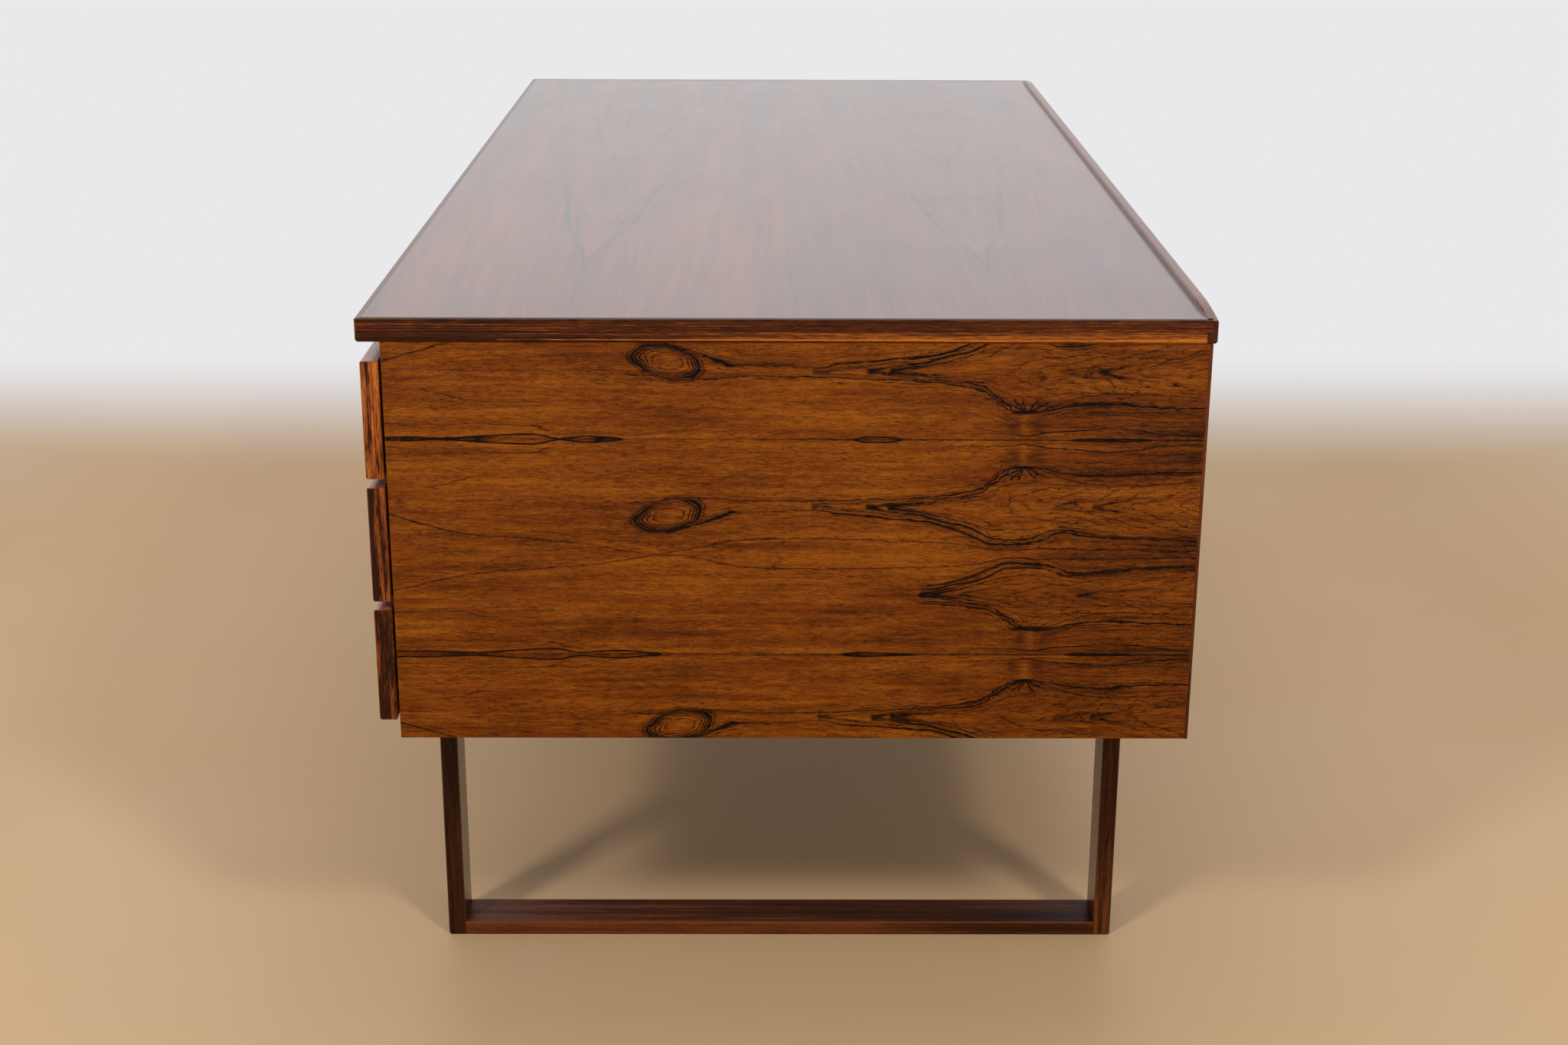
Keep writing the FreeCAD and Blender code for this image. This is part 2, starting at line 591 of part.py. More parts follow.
def screw_form(place, clearance):
    """A countersunk screw, or its hole where there is a clearance round it."""
    head_radius = SCREW_HEAD_DIAMETER / 2 + clearance
    shank_radius = SCREW_SHANK_DIAMETER / 2 + clearance
    length = TOP_RAIL_THICKNESS + SCREW_IN_BOTTOM + clearance
    head_outline = sided_outline(place, Z_AXIS, head_radius, SCREW_SIDES)
    neck_outline = sided_outline(place + Z_AXIS * SCREW_HEAD_HEIGHT, Z_AXIS, shank_radius, SCREW_SIDES)
    head = Part.makeLoft([head_outline, neck_outline], True, True)
    return one_solid(head.fuse(sided_bar(place, Z_AXIS, length, shank_radius, SCREW_SIDES)))


def screw_places(side):
    """The points under a sled's top rail where its screws go in."""
    middle = side * (SLED_OUTER + SLED_INNER) / 2
    level = CASE_BASE - TOP_RAIL_THICKNESS
    length = RAIL_REAR - RAIL_FRONT
    return [Vec(middle, RAIL_FRONT + share * length, level) for share in SCREW_PLACE_SHARES]


def screws(side):
    """The screws that hold a sled under its pedestal."""
    return [screw_form(place, 0) for place in screw_places(side)]


def screw_holes(side):
    """Their countersunk holes, through the top rail and into the pedestal's bottom."""
    return [screw_form(place, HOLE_CLEARANCE) for place in screw_places(side)]


def tenon_bar(side, z):
    """The tenons on both ends of a rail, joined through its length."""
    return block((side * (SLED_INNER + TENON_SHOULDER), side * (SLED_OUTER - TENON_SHOULDER)),
                 (RAIL_FRONT - TENON_LENGTH, RAIL_REAR + TENON_LENGTH), centred_in(z, TENON_THICKNESS))


def sled_rail(side, z):
    """A rail between the legs, its long edges bevelled and a tenon on each end."""
    bar = block((side * SLED_INNER, side * SLED_OUTER), (RAIL_FRONT, RAIL_REAR), z)
    bar = bevelled(bar, SLED_EDGE_BEVEL, lambda e: runs_along(e, Y_AXIS))
    return one_solid(bar.fuse(tenon_bar(side, z)))


def sled_leg(side, outer, inner, rail_levels):
    """An upright of the sled from the floor to the case, mortised for both rails."""
    post = block((side * SLED_INNER, side * SLED_OUTER), (outer, inner), (0, CASE_BASE))
    post = rounded(post, SLED_CORNER_ROUND, lambda e: lies_on(e, "z", 0) and lies_on(e, "y", outer))
    post = bevelled(post, SLED_EDGE_BEVEL, lambda e: runs_along(e, Z_AXIS))
    return one_solid(post.cut(Part.makeCompound([tenon_bar(side, z) for z in rail_levels])))


def sled(side):
    """The four bars of one sled."""
    floor_level = (0, FLOOR_RAIL_THICKNESS)
    top_level = (CASE_BASE - TOP_RAIL_THICKNESS, CASE_BASE)
    levels = (floor_level, top_level)
    top_rail = sled_rail(side, top_level).cut(Part.makeCompound(screw_holes(side)))
    return {"front_leg": sled_leg(side, SLED_FRONT, RAIL_FRONT, levels),
            "rear_leg": sled_leg(side, SLED_REAR, RAIL_REAR, levels),
            "floor_rail": sled_rail(side, floor_level), "top_rail": one_solid(top_rail)}


# The whole desk

def shared_nodes():
    """The nodes that belong to neither side: the top, the centre bay and the groups of like pieces."""
    blank = top_blank()
    both = SIDES.values()
    nodes = {"top_board": top_board(), "top_front_strip": front_strip(blank), "top_rear_lip": rear_lip(),
             "centre_bottom": centre_bottom(), "centre_back": centre_back()}
    groups = {"top_end_strips": [end_strip(blank, side) for side in both],
              "top_dowels": dowels(),
              "panel_edge_strips": panel_edge_strips(),
              "shelf_pins": [shelf_pin(wall, outward) for wall, outward in shelf_pin_places()],
              "drawer_runners": [runner for side in both for runner in pedestal_runners(side)],
              "sled_screws": [screw for side in both for screw in screws(side)]}
    nodes.update({name: Part.makeCompound(solids) for name, solids in groups.items()})
    nodes.update({name + "_shelf": shelf(walls) for name, walls in bay_walls().items()})
    return nodes


def side_nodes(name, side, drawer_pieces):
    """The nodes of one pedestal with its sled and its three drawers."""
    cuts = joinery(side)
    nodes = {"end_panel": case_panel(side, END_PANEL_INNER, CASE_END, cuts),
             "inner_panel": case_panel(side, KNEE_HALF, INNER_PANEL_OUTER, cuts),
             "pedestal_bottom": pedestal_bottom(side), "pedestal_back": pedestal_back(side)}
    for bar, shape in sled(side).items():
        nodes["sled_" + bar] = shape
    for row, row_name in enumerate(ROW_NAMES):
        place = Vec(side * PEDESTAL_CENTRE, 0, row_base(row))
        for piece, shape in drawer_pieces.items():
            nodes[row_name + "_drawer_" + piece] = shape.translated(place)
    return {name + "_" + node: shape for node, shape in nodes.items()}


def main():
    os.makedirs("parts", exist_ok=True)
    nodes = shared_nodes()
    drawer_pieces = drawer()
    for name, side in SIDES.items():
        nodes.update(side_nodes(name, side, drawer_pieces))
    for node, shape in nodes.items():
        shape.exportStep("parts/" + node + ".step")


main()
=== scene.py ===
"""Finish, light and camera of the freestanding desk.

The row frame: +Z up, +X along the top at the seated user's right hand, -Y towards the user. Metres.
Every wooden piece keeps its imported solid. Each gets a pattern of its own: rings, streaks, pores and
worn edges worked out in the row frame, so that grain runs along each board and breaks at each joint.
"""

import math

import bpy
from mathutils import Color, Matrix, Vector


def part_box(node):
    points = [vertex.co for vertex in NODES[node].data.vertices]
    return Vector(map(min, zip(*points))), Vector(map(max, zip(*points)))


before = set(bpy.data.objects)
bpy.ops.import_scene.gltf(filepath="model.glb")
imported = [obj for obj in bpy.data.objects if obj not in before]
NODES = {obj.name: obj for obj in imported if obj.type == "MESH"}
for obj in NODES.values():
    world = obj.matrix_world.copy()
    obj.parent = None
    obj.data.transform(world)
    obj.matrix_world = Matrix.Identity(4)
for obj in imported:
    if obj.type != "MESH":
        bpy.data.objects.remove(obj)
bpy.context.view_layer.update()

# Which coordinates run along, across and through a board
ALONG_X = (0, 1, 2)
ALONG_Y = (1, 2, 0)
ALONG_Z = (2, 0, 1)
ALONG_X_UPRIGHT = (0, 2, 1)
MILLIMETRE = 0.001

# The camera, fitted to the photograph's corners
IMAGE_WIDTH = 2048
SENSOR_WIDTH = 36.0
FOCAL_PIXELS = 2932.54
CAMERA_PLACE = Vector((2.77202, -0.01427, 1.19728))
CAMERA_PITCH = math.radians(18.7653)
CAMERA_YAW = math.radians(0.3620)
CAMERA_ROLL = math.radians(-0.2324)

SCREEN_LEVELS = 255


def srgb(*levels):
    """A colour as it looks on a screen, 0 to 255, as the light that the shaders use."""
    shown = Color([level / SCREEN_LEVELS for level in levels])
    return (*shown.from_srgb_to_scene_linear(), 1.0)


def wood_colours(light, middle, dark, ink):
    """The four colours of a wood."""
    return {"light": srgb(*light), "middle": srgb(*middle), "dark": srgb(*dark), "ink": srgb(*ink)}


VENEER = wood_colours((148, 81, 13), (115, 55, 5), (64, 28, 3), (12, 4, 0))
VENEER_RED = srgb(110, 42, 6)
TOP_VENEER = wood_colours((122, 60, 28), (98, 46, 20), (70, 31, 14), (28, 12, 7))
TOP_VENEER_COOL = srgb(68, 47, 54)
STRIP = wood_colours((184, 102, 30), (94, 43, 12), (44, 19, 6), (18, 7, 3))
CASE_VENEER = wood_colours((140, 76, 32), (112, 54, 20), (72, 31, 12), (28, 12, 6))
SOLID = wood_colours((122, 62, 28), (88, 40, 18), (52, 23, 12), (22, 9, 5))
FRONT = wood_colours((186, 104, 42), (130, 62, 20), (46, 19, 6), (18, 7, 3))
SLED = wood_colours((112, 60, 28), (66, 33, 14), (36, 17, 7), (14, 6, 3))
OAK = wood_colours((214, 178, 128), (196, 156, 106), (166, 124, 78), (120, 84, 48))
PLYWOOD = wood_colours((218, 186, 140), (202, 166, 118), (176, 138, 92), (136, 100, 62))
BEECH = wood_colours((216, 176, 136), (200, 156, 114), (176, 130, 90), (140, 96, 62))
BRASS = srgb(176, 142, 78)
BRASS_DULL = srgb(112, 88, 52)
FLOOR_NEAR = srgb(187, 154, 114)
BACKDROP = srgb(233, 233, 235)
ROOM_BEHIND_CAMERA = srgb(62, 60, 58)
LAMP_COLOUR = (1.0, 0.97, 0.93)

# Lacquers and wax: open is how much rougher the pores are, relief how deep in metres
LACQUER = {
    "roughness": 0.34, "relief": 0.00008, "shine": 0.10, "coat": 0.0, "coat_roughness": 0.16, "open": 0.10}
TOP_LACQUER = {
    "roughness": 0.27, "relief": 0.000004, "shine": 0.5, "coat": 0.75, "coat_roughness": 0.14, "open": 0.02}
WAX = {"roughness": 0.55, "relief": 0.00015, "shine": 0.3, "coat": 0.0, "coat_roughness": 0.3, "open": 0.10}


# Sums of patterns

NOISE_SHIFT_SHARES = (1.0, 1.7, 0.6)

# The colour sockets of a node that mixes
MIX_FIRST = 6
MIX_SECOND = 7
MIX_RESULT = 2


def soft(along, across, through, shift=0.0, detail=2.0, rough=0.5, warp=0.0):
    """A soft noise: its blots' size along three coordinates, in metres, and how fine and bent they are."""
    return {"sizes": (along, across, through), "shift": shift, "detail": detail, "rough": rough, "warp": warp}


class Value:
    """A number that varies over a surface, so that patterns can be written as sums."""

    def __init__(self, tree, socket):
        self.tree = tree
        self.socket = socket

    def __add__(self, other):
        return maths("ADD", self, other)

    def __sub__(self, other):
        return maths("SUBTRACT", self, other)

    def __rsub__(self, other):
        return maths("SUBTRACT", other, self)

    def __mul__(self, other):
        return maths("MULTIPLY", self, other)

    def __truediv__(self, other):
        return maths("DIVIDE", self, other)

    def __neg__(self):
        return self * -1.0

    __radd__ = __add__
    __rmul__ = __mul__


class Tree:
    """The node tree of a new material or world."""

    def __init__(self, name, kind="materials"):
        self.owner = getattr(bpy.data, kind).new(name)
        self.owner.use_nodes = True
        self.nodes = self.owner.node_tree.nodes
        self.links = self.owner.node_tree.links
        self.nodes.clear()

    def add(self, kind, sources, output=0, **settings):
        """A new node's output. Its sockets are set to numbers or colours, or linked to varying ones."""
        node = self.nodes.new("ShaderNode" + kind)
        for name, setting in settings.items():
            setattr(node, name, setting)
        for socket, source in sources.items():
            if isinstance(source, Value):
                self.links.new(source.socket, node.inputs[socket])
            else:
                node.inputs[socket].default_value = source
        return Value(self, node.outputs[output])

    def split(self, kind, output):
        """The three parts of a vector that a new node gives."""
        split = self.add("SeparateXYZ", {"Vector": self.add(kind, {}, output)}).socket.node
        return [Value(self, part) for part in split.outputs]

    def position(self):
        """The three coordinates of a point in the row frame."""
        return self.split("TexCoord", "Object")

    def surface(self, colour, roughness, height, depth, shine=0.5, coat=0.0, coat_roughness=0.2, metal=0.0):
        """Ends the tree: a lacquered or bare surface with relief of a given depth."""
        return self.end(self.add("BsdfPrincipled", {
            "Base Color": colour, "Roughness": roughness, "Metallic": metal, "Specular IOR Level": shine,
            "Coat Weight": coat, "Coat Roughness": coat_roughness,
            "Normal": self.add("Bump", {"Distance": depth, "Height": height})}))

    def end(self, shader, kind="OutputMaterial"):
        """Ends the tree with a shader."""
        self.links.new(shader.socket, self.nodes.new("ShaderNode" + kind).inputs["Surface"])
        return self.owner


def tree_of(values):
    """The tree that varying values belong to."""
    return next(value.tree for value in values if isinstance(value, Value))


def facing(place):
    """How far a surface faces along each axis of the row frame, from -1 to 1."""
    return tree_of(place).split("NewGeometry", "Normal")


def maths(operation, *values):
    return tree_of(values).add("Math", dict(enumerate(values)), operation=operation)


def vector(values):
    return tree_of(values).add("CombineXYZ", dict(enumerate(values)))


def noise(place, kind, seed=0.0):
    """Soft noise of a kind, from about -1 to 1."""
    shift = seed + kind["shift"]
    scaled = place.tree.add("Mapping", {
        "Vector": place, "Scale": [1.0 / size for size in kind["sizes"]],
        "Location": [shift * share for share in NOISE_SHIFT_SHARES]})
    blots = place.tree.add("TexNoise", {
        "Vector": scaled, "Scale": 1.0, "Detail": kind["detail"], "Roughness": kind["rough"],
        "Distortion": kind["warp"]})
    return blots * 2.0 - 1.0


def chance(value):
    """A number from 0 to 1 that changes at random from one whole number to the next."""
    return value.tree.add("TexWhiteNoise", {"W": value}, "Value", noise_dimensions="1D")


def step(value, low, high):
    """0 below one level, 1 beyond the other, and smooth between them."""
    return value.tree.add("MapRange", {"Value": value, "From Min": low, "From Max": high},
                          interpolation_type="SMOOTHSTEP")


def curve(value, points, limits, reach):
    """A smooth curve through points given in millimetres, between limits given in metres."""
    start, end = limits
    low, high = reach
    curved = value.tree.add("FloatCurve", {"Value": (value - start) / (end - start)})
    mapping = curved.socket.node.mapping
    line = mapping.curves[0]
    shares = [((x * MILLIMETRE - start) / (end - start), (y * MILLIMETRE - low) / (high - low))
              for x, y in points]
    for share in shares[1:-1]:
        line.points.new(*share)
    for point, share in zip(line.points, shares):
        point.location = share
        point.handle_type = "AUTO_CLAMPED"
    mapping.update()
    return curved * (high - low) + low


def mix(share, first, second):
    """A colour between two others."""
    return share.tree.add("Mix", {0: share, MIX_FIRST: first, MIX_SECOND: second}, MIX_RESULT, data_type="RGBA")


def clamp(value):
    return maths("MINIMUM", maths("MAXIMUM", value, 0.0), 1.0)


def size(value):
    """A number without its sign."""
    return maths("ABSOLUTE", value)


def strongest(*values):
    """The greatest of several patterns at each place."""
    total = values[0]
    for value in values[1:]:
        total = maths("MAXIMUM", total, value)
    return total


def hump(*offsets):
    """A smooth hump: 1 where every offset is 0, fading at about 1."""
    total = offsets[0] * offsets[0]
    for offset in offsets[1:]:
        total = total + offset * offset
    return maths("EXPONENT", -total)


def fall(run, reach):
    """1 at the start of a run, falling ever more slowly: to about a third over its reach."""
    return maths("EXPONENT", run / -reach)


def weighed(total, weights, **patterns):
    """A sum with named patterns added to it, each times the weight of its name."""
    for name, pattern in patterns.items():
        total = total + pattern * weights[name]
    return total


# Wood

BANDS = soft(0.60, 0.040, 0.040, warp=0.4)
STREAKS = soft(0.17, 0.0065, 0.0065, 3.1, 3.0, 0.6, 0.3)
FIBRES = soft(0.013, 0.0010, 0.0010, 5.7, rough=0.6)
BAND_WEIGHT = 0.55
FIBRE_WEIGHT = 0.44
MIDDLE_TONE = 0.5

LINE_FADING = soft(0.07, 0.012, 0.012, 8.3)
LINE_FADING_WEIGHT = 0.5
LINE_BREADTH = 0.10
LUCKY_BREADTH_SHARE = 1.6
LEAST_BREADTH_SHARE = 0.4
LINE_SHOWN = (0.25, 0.75)

PORES = soft(0.006, 0.00042, 0.00042, 12.9, 1.0)
LEAF_PORES = soft(0.0070, 0.00050, 0.00050, 12.9, 1.0)
PORE_CROWDING = soft(0.05, 0.009, 0.009, 14.2, 1.0)
PORE_CROWDING_WEIGHT = 0.30
PORE_SHOWN = (0.26, 0.44)
PORE_DARK = 0.55

EDGE_WANDER = soft(0.05, 0.02, 0.02, 17.0, 3.0, 0.7)
EDGE_WANDER_REACH = 0.0012
SEAM_REACH = (0.0001, 0.0006)
SEAM_DARK = 0.35
RUBBED_REACH = (0.0002, 0.0022)
RUBBED_SHOWN = (-0.25, 0.5)
RUBBED_PALE = 0.35
SMEARS = soft(0.12, 0.06, 0.06, 19.0, 3.0, 0.6)
ROUGHER = {"smears": 0.05, "rubbed": 0.12}
RELIEF_FIBRES = soft(0.030, 0.0016, 0.0016, 21.0)
FIBRE_HEIGHT = 0.25
PORE_DEPTH = 0.8


def edge_distance(place, low, high):
    """How far a point on a board's face is from the nearest edge of its box."""
    gaps = [maths("MINIMUM", value - start, end - value) for value, start, end in zip(place, low, high)]
    nearer = maths("MINIMUM", gaps[0], gaps[1])
    farther = maths("MAXIMUM", gaps[0], gaps[1])
    return maths("MAXIMUM", nearer, maths("MINIMUM", farther, gaps[2]))


def wood_tone(grain, seed, calm=1.0):
    """Light and dark along the grain: broad bands, streaks and fine fibres, from about 0 to 1."""
    bands = noise(grain, BANDS, seed)
    streaks = noise(grain, STREAKS, seed)
    fibres = noise(grain, FIBRES, seed)
    weight = BAND_WEIGHT * calm
    return clamp(bands * weight + streaks * weight + fibres * FIBRE_WEIGHT + MIDDLE_TONE)


def ink_lines(rings, grain, seed, breadth=LINE_BREADTH):
    """Dark lines where the ring count passes a whole number, each of its own strength and breadth."""
    whole = maths("FLOOR", rings)
    luck = chance(whole + seed)
    width = luck * (breadth * LUCKY_BREADTH_SHARE) + breadth * LEAST_BREADTH_SHARE
    edge = clamp(1.0 - (rings - whole) / width)
    fading = noise(grain, LINE_FADING, seed)
    return edge * edge * step(luck + fading * LINE_FADING_WEIGHT, *LINE_SHOWN)


def pores(grain, seed, kind=PORES):
    """Short dark vessel lines along the grain, 0 or 1 with soft edges."""
    dashes = noise(grain, kind, seed)
    crowding = noise(grain, PORE_CROWDING, seed)
    return step(dashes + crowding * PORE_CROWDING_WEIGHT, *PORE_SHOWN)


def tinted(tone, palette):
    """The palette's dark, middle and light colours for a tone from 0 to 1."""
    lower = mix(clamp(tone * 2.0), palette["dark"], palette["middle"])
    return mix(clamp(tone * 2.0 - 1.0), lower, palette["light"])


def finished(tree, place, grain, box, colour, dark, pore, palette, seed, gloss, coat=None):
    """The last of a wooden surface: pores, inked lines, rubbed edges and the lacquer's unevenness."""
    colour = mix(dark, colour, palette["ink"])
    colour = mix(pore * PORE_DARK, colour, palette["ink"])
    from_edge = edge_distance(place, *box)
    wander = noise(grain, EDGE_WANDER, seed)
    seam = 1.0 - step(from_edge, *SEAM_REACH)
    rubbed = 1.0 - step(from_edge + wander * EDGE_WANDER_REACH, *RUBBED_REACH)
    rubbed = rubbed * step(wander, *RUBBED_SHOWN)
    colour = mix(rubbed * RUBBED_PALE, colour, palette["light"])
    colour = mix(seam * SEAM_DARK, colour, palette["ink"])
    smears = noise(grain, SMEARS, seed)
    roughness = weighed(pore * gloss["open"] + gloss["roughness"], ROUGHER, smears=smears, rubbed=rubbed)
    fibres = noise(grain, RELIEF_FIBRES, seed)
    height = fibres * FIBRE_HEIGHT - pore * PORE_DEPTH
    return tree.surface(colour, roughness, height, gloss["relief"], gloss["shine"],
                        gloss["coat"] if coat is None else coat, gloss["coat_roughness"])


# Plain boards, strips and bars

UPRIGHT_FACE = (0.5, 0.8)
UPPER_FACE = (0.3, 0.7)
SLED_COAT = 0.8
STRIP_COAT = 0.75
LIP_COAT = 0.8
FRONT_COAT = 0.95

# Painted light on the floor rails: upright faces lighter where the lamps fall, and a painted highlight along the
# outer upper edge
FLOOR_RAIL_TOP = 0.015
FLOOR_RAIL_OUTER = (0.6240, 0.6262)
FLOOR_RAIL_HIGHLIGHT_HALF = 0.0009
FLOOR_RAIL_PAINTED_LIGHT = {"upright": 0.28, "arris": 0.9}
FLOOR_RAIL_TONE = -0.04
FRONT_LEG_TONE = -0.12
REAR_LEG_TONE = 0.06
LIP_TONE = 0.18
LIP_END_TONE = -0.44

BOARD_WANDER = soft(0.35, 0.05, 0.05, 1.3)
BOARD_WOBBLE = soft(0.08, 0.012, 0.012, 2.2)
BOARD_RINGS = {"wander": 1.6, "wobble": 0.35}
RING_PITCH = 0.014
RING_SLOPE = 0.35


def upright(part):
    """1 on faces that look along an axis or against it, 0 on the others."""
    return step(size(part), *UPRIGHT_FACE)


def rail_painted_light(place):
    """A floor rail's tones, painted light: lighter on its upright faces, where the lamps' light falls, and a
    painted highlight along its outer upper edge.
    """
    # Painted highlight along the outer upper edge, and painted light on the upright faces
    outer = step(size(place[0]), *FLOOR_RAIL_OUTER)
    arris = hump((place[2] - FLOOR_RAIL_TOP) / FLOOR_RAIL_HIGHLIGHT_HALF) * outer
    return weighed(FLOOR_RAIL_TONE, FLOOR_RAIL_PAINTED_LIGHT, upright=upright(facing(place)[0]), arris=arris)


def even_shade(tone):
    """The same change of tone all over a bar."""
    return lambda place: tone


def lip_shade(place):
    """The lip's end grain is darker than its long faces."""
    return upright(facing(place)[0]) * LIP_END_TONE + LIP_TONE


def sled_gloss(place):
    """More lacquer on the faces along the desk's depth."""
    return upright(facing(place)[1]) * SLED_COAT


def upper_gloss(place):
    """More lacquer on upper faces."""
    return step(facing(place)[2], *UPPER_FACE) * STRIP_COAT


def lip_gloss(place):
    """More lacquer on the lip's upper face and on the one towards the user."""
    normal = facing(place)
    return step(strongest(normal[2], -normal[1]), *UPPER_FACE) * LIP_COAT


def board_wood(name, node, axes, palette, gloss, seed, ink=0.8, calm=1.0, shade=None, coat=None):
    """A plain board: rings cut at a slope to its face, streaks along it, pores and worn edges."""
    tree = Tree(name)
    place = tree.position()
    along, across, depth = (place[axis] for axis in axes)
    grain = vector((along, across, depth))
    wander = noise(grain, BOARD_WANDER, seed)
    wobble = noise(grain, BOARD_WOBBLE, seed)
    rings = across * (RING_SLOPE / RING_PITCH) + depth * (1.0 / RING_PITCH)
    rings = weighed(rings, BOARD_RINGS, wander=wander, wobble=wobble)
    lines = ink_lines(rings, grain, seed)
    tone = wood_tone(grain, seed, calm)
    if shade:
        tone = clamp(tone + shade(place))
    pore = pores(grain, seed)
    return finished(tree, place, grain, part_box(node), tinted(tone, palette), lines * ink, pore, palette,
                    seed, gloss, coat(place) if coat else None)


# The end strips: heights are z and lengths y, in metres

STRIP_SWAY = soft(1.0, 0.35, 0.02, 71.0)
STRIP_LINES = soft(1.0, 0.30, 0.0011, 73.0, rough=0.6)
STRIP_DASHES = soft(1.0, 0.016, 0.0009, 75.0, 1.0)
STRIP_THREADS = soft(1.0, 0.09, 0.0008, 77.0, rough=0.6)
STRIP_SWAY_HEIGHT = 0.0045
STRIP_SWAY_LENGTH = 0.05
STRIP_BEHIND = (-0.30, 0.20)
LOWER_BAND = (0.7015, 0.7125)
GLOWING_LENGTH = (0.22, 0.39)
GLOWING_HEIGHT = (0.702, 0.711)
MIDDLE_BAND = {"height": 0.7055, "half": 0.004, "along": -0.12, "reach": 0.16}
# Painted light on the strip: shade on its upper edge, which is also darker wood, a painted highlight along its
# lower arris, painted shade under its rounded lower edge and a painted highlight on its lowest arris
UPPER_EDGE_DARK_AND_SHADE = (0.7178, 0.7192)
LOWER_EDGE_HIGHLIGHT = {"height": 0.7010, "half": 0.0006, "starts": (-0.30, -0.20), "ends": (0.02, 0.25), "loss": 0.7}
LOWER_EDGE_HIGHLIGHT_RAGGED = 0.1
UNDER_EDGE_SHADE = (0.6992, 0.7003)
STRIP_ARRIS_HIGHLIGHT = {"height": 0.6983, "half": 0.0004}
FRONT_BAND = {"height": 0.7158, "half": 0.0020}
STRIP_TONES = {
    "front": -0.56, "behind": -0.16, "lower": 0.34, "glowing": 0.40, "middle": 0.22, "dashes": 0.28,
    "front_band": 0.36, "upper_edge": -0.60, "lower_edge": 0.90, "under_edge": -0.40, "arris": 1.1}
FRONT_LINES = 1.00
REAR_LINES = 0.60
FRONT_THREADS = 0.70
REAR_THREADS = 0.36


def end_strip_shade(place):
    """The strip's own colours, dark at the front and behind a bright lower half under a dull upper one, and
    painted light: shade on its upper edge, where the wood is also darker, and under its rounded lower edge, and
    highlights along its lower arrises.
    """
    along, height = place[1], place[2]
    grain = vector(place)
    sway = noise(grain, STRIP_SWAY)
    lines = noise(grain, STRIP_LINES)
    dashes = noise(grain, STRIP_DASHES)
    threads = noise(grain, STRIP_THREADS)
    level = height + sway * STRIP_SWAY_HEIGHT
    behind = step(along + sway * STRIP_SWAY_LENGTH, *STRIP_BEHIND)
    front = 1.0 - behind
    lower = (1.0 - step(level, *LOWER_BAND)) * behind
    glowing = step(along, *GLOWING_LENGTH) * (1.0 - step(level, *GLOWING_HEIGHT))
    middle = hump((height - MIDDLE_BAND["height"]) / MIDDLE_BAND["half"],
                  (along - MIDDLE_BAND["along"]) / MIDDLE_BAND["reach"])
    # Painted highlight along the strip's lower arris
    lower_edge = hump((height - LOWER_EDGE_HIGHLIGHT["height"]) / LOWER_EDGE_HIGHLIGHT["half"])
    lower_edge = lower_edge * step(along + dashes * LOWER_EDGE_HIGHLIGHT_RAGGED, *LOWER_EDGE_HIGHLIGHT["starts"])
    lower_edge = lower_edge * (1.0 - step(along, *LOWER_EDGE_HIGHLIGHT["ends"]) * LOWER_EDGE_HIGHLIGHT["loss"])
    tone = weighed(lines * (front * FRONT_LINES + behind * REAR_LINES), STRIP_TONES, front=front, behind=behind,
                   lower=lower, glowing=glowing, middle=middle, dashes=dashes, lower_edge=lower_edge,
                   # Painted shade on the upper edge, where the wood is also darker, and under the rounded lower
                   # edge; a painted highlight on the lowest arris
                   upper_edge=step(height, *UPPER_EDGE_DARK_AND_SHADE),
                   under_edge=1.0 - step(height, *UNDER_EDGE_SHADE),
                   front_band=hump((level - FRONT_BAND["height"]) / FRONT_BAND["half"]) * front,
                   arris=hump((height - STRIP_ARRIS_HIGHLIGHT["height"]) / STRIP_ARRIS_HIGHLIGHT["half"]))
    return tone + threads * (front * FRONT_THREADS + behind * REAR_THREADS)


# The drawer fronts. A front's end tone is lifted by the first number and slants across its depth by the second

FRONT_TONES = {"top": (0.07, 0.10), "middle": (-0.50, 0.80), "bottom": (-0.58, 0.15)}
FRONT_WANDER = soft(0.30, 0.05, 0.05, 1.3)
FRONT_RINGS = {"across": 22.0, "depth": 70.0, "wander": 2.0}
FACE_LINE_DARK = 0.8
END_STREAKS = soft(0.070, 0.0040, 0.03, 2.0, 3.0, 0.65)
END_DASHES = soft(0.014, 0.0018, 0.02, 3.0, rough=0.6)
END_TONES = {"streaks": 1.9, "dashes": 1.1}
END_DARK_STREAKS = 0.4
END_DARK_SHOWN = (0.12, 0.40)
END_DARK = 0.7


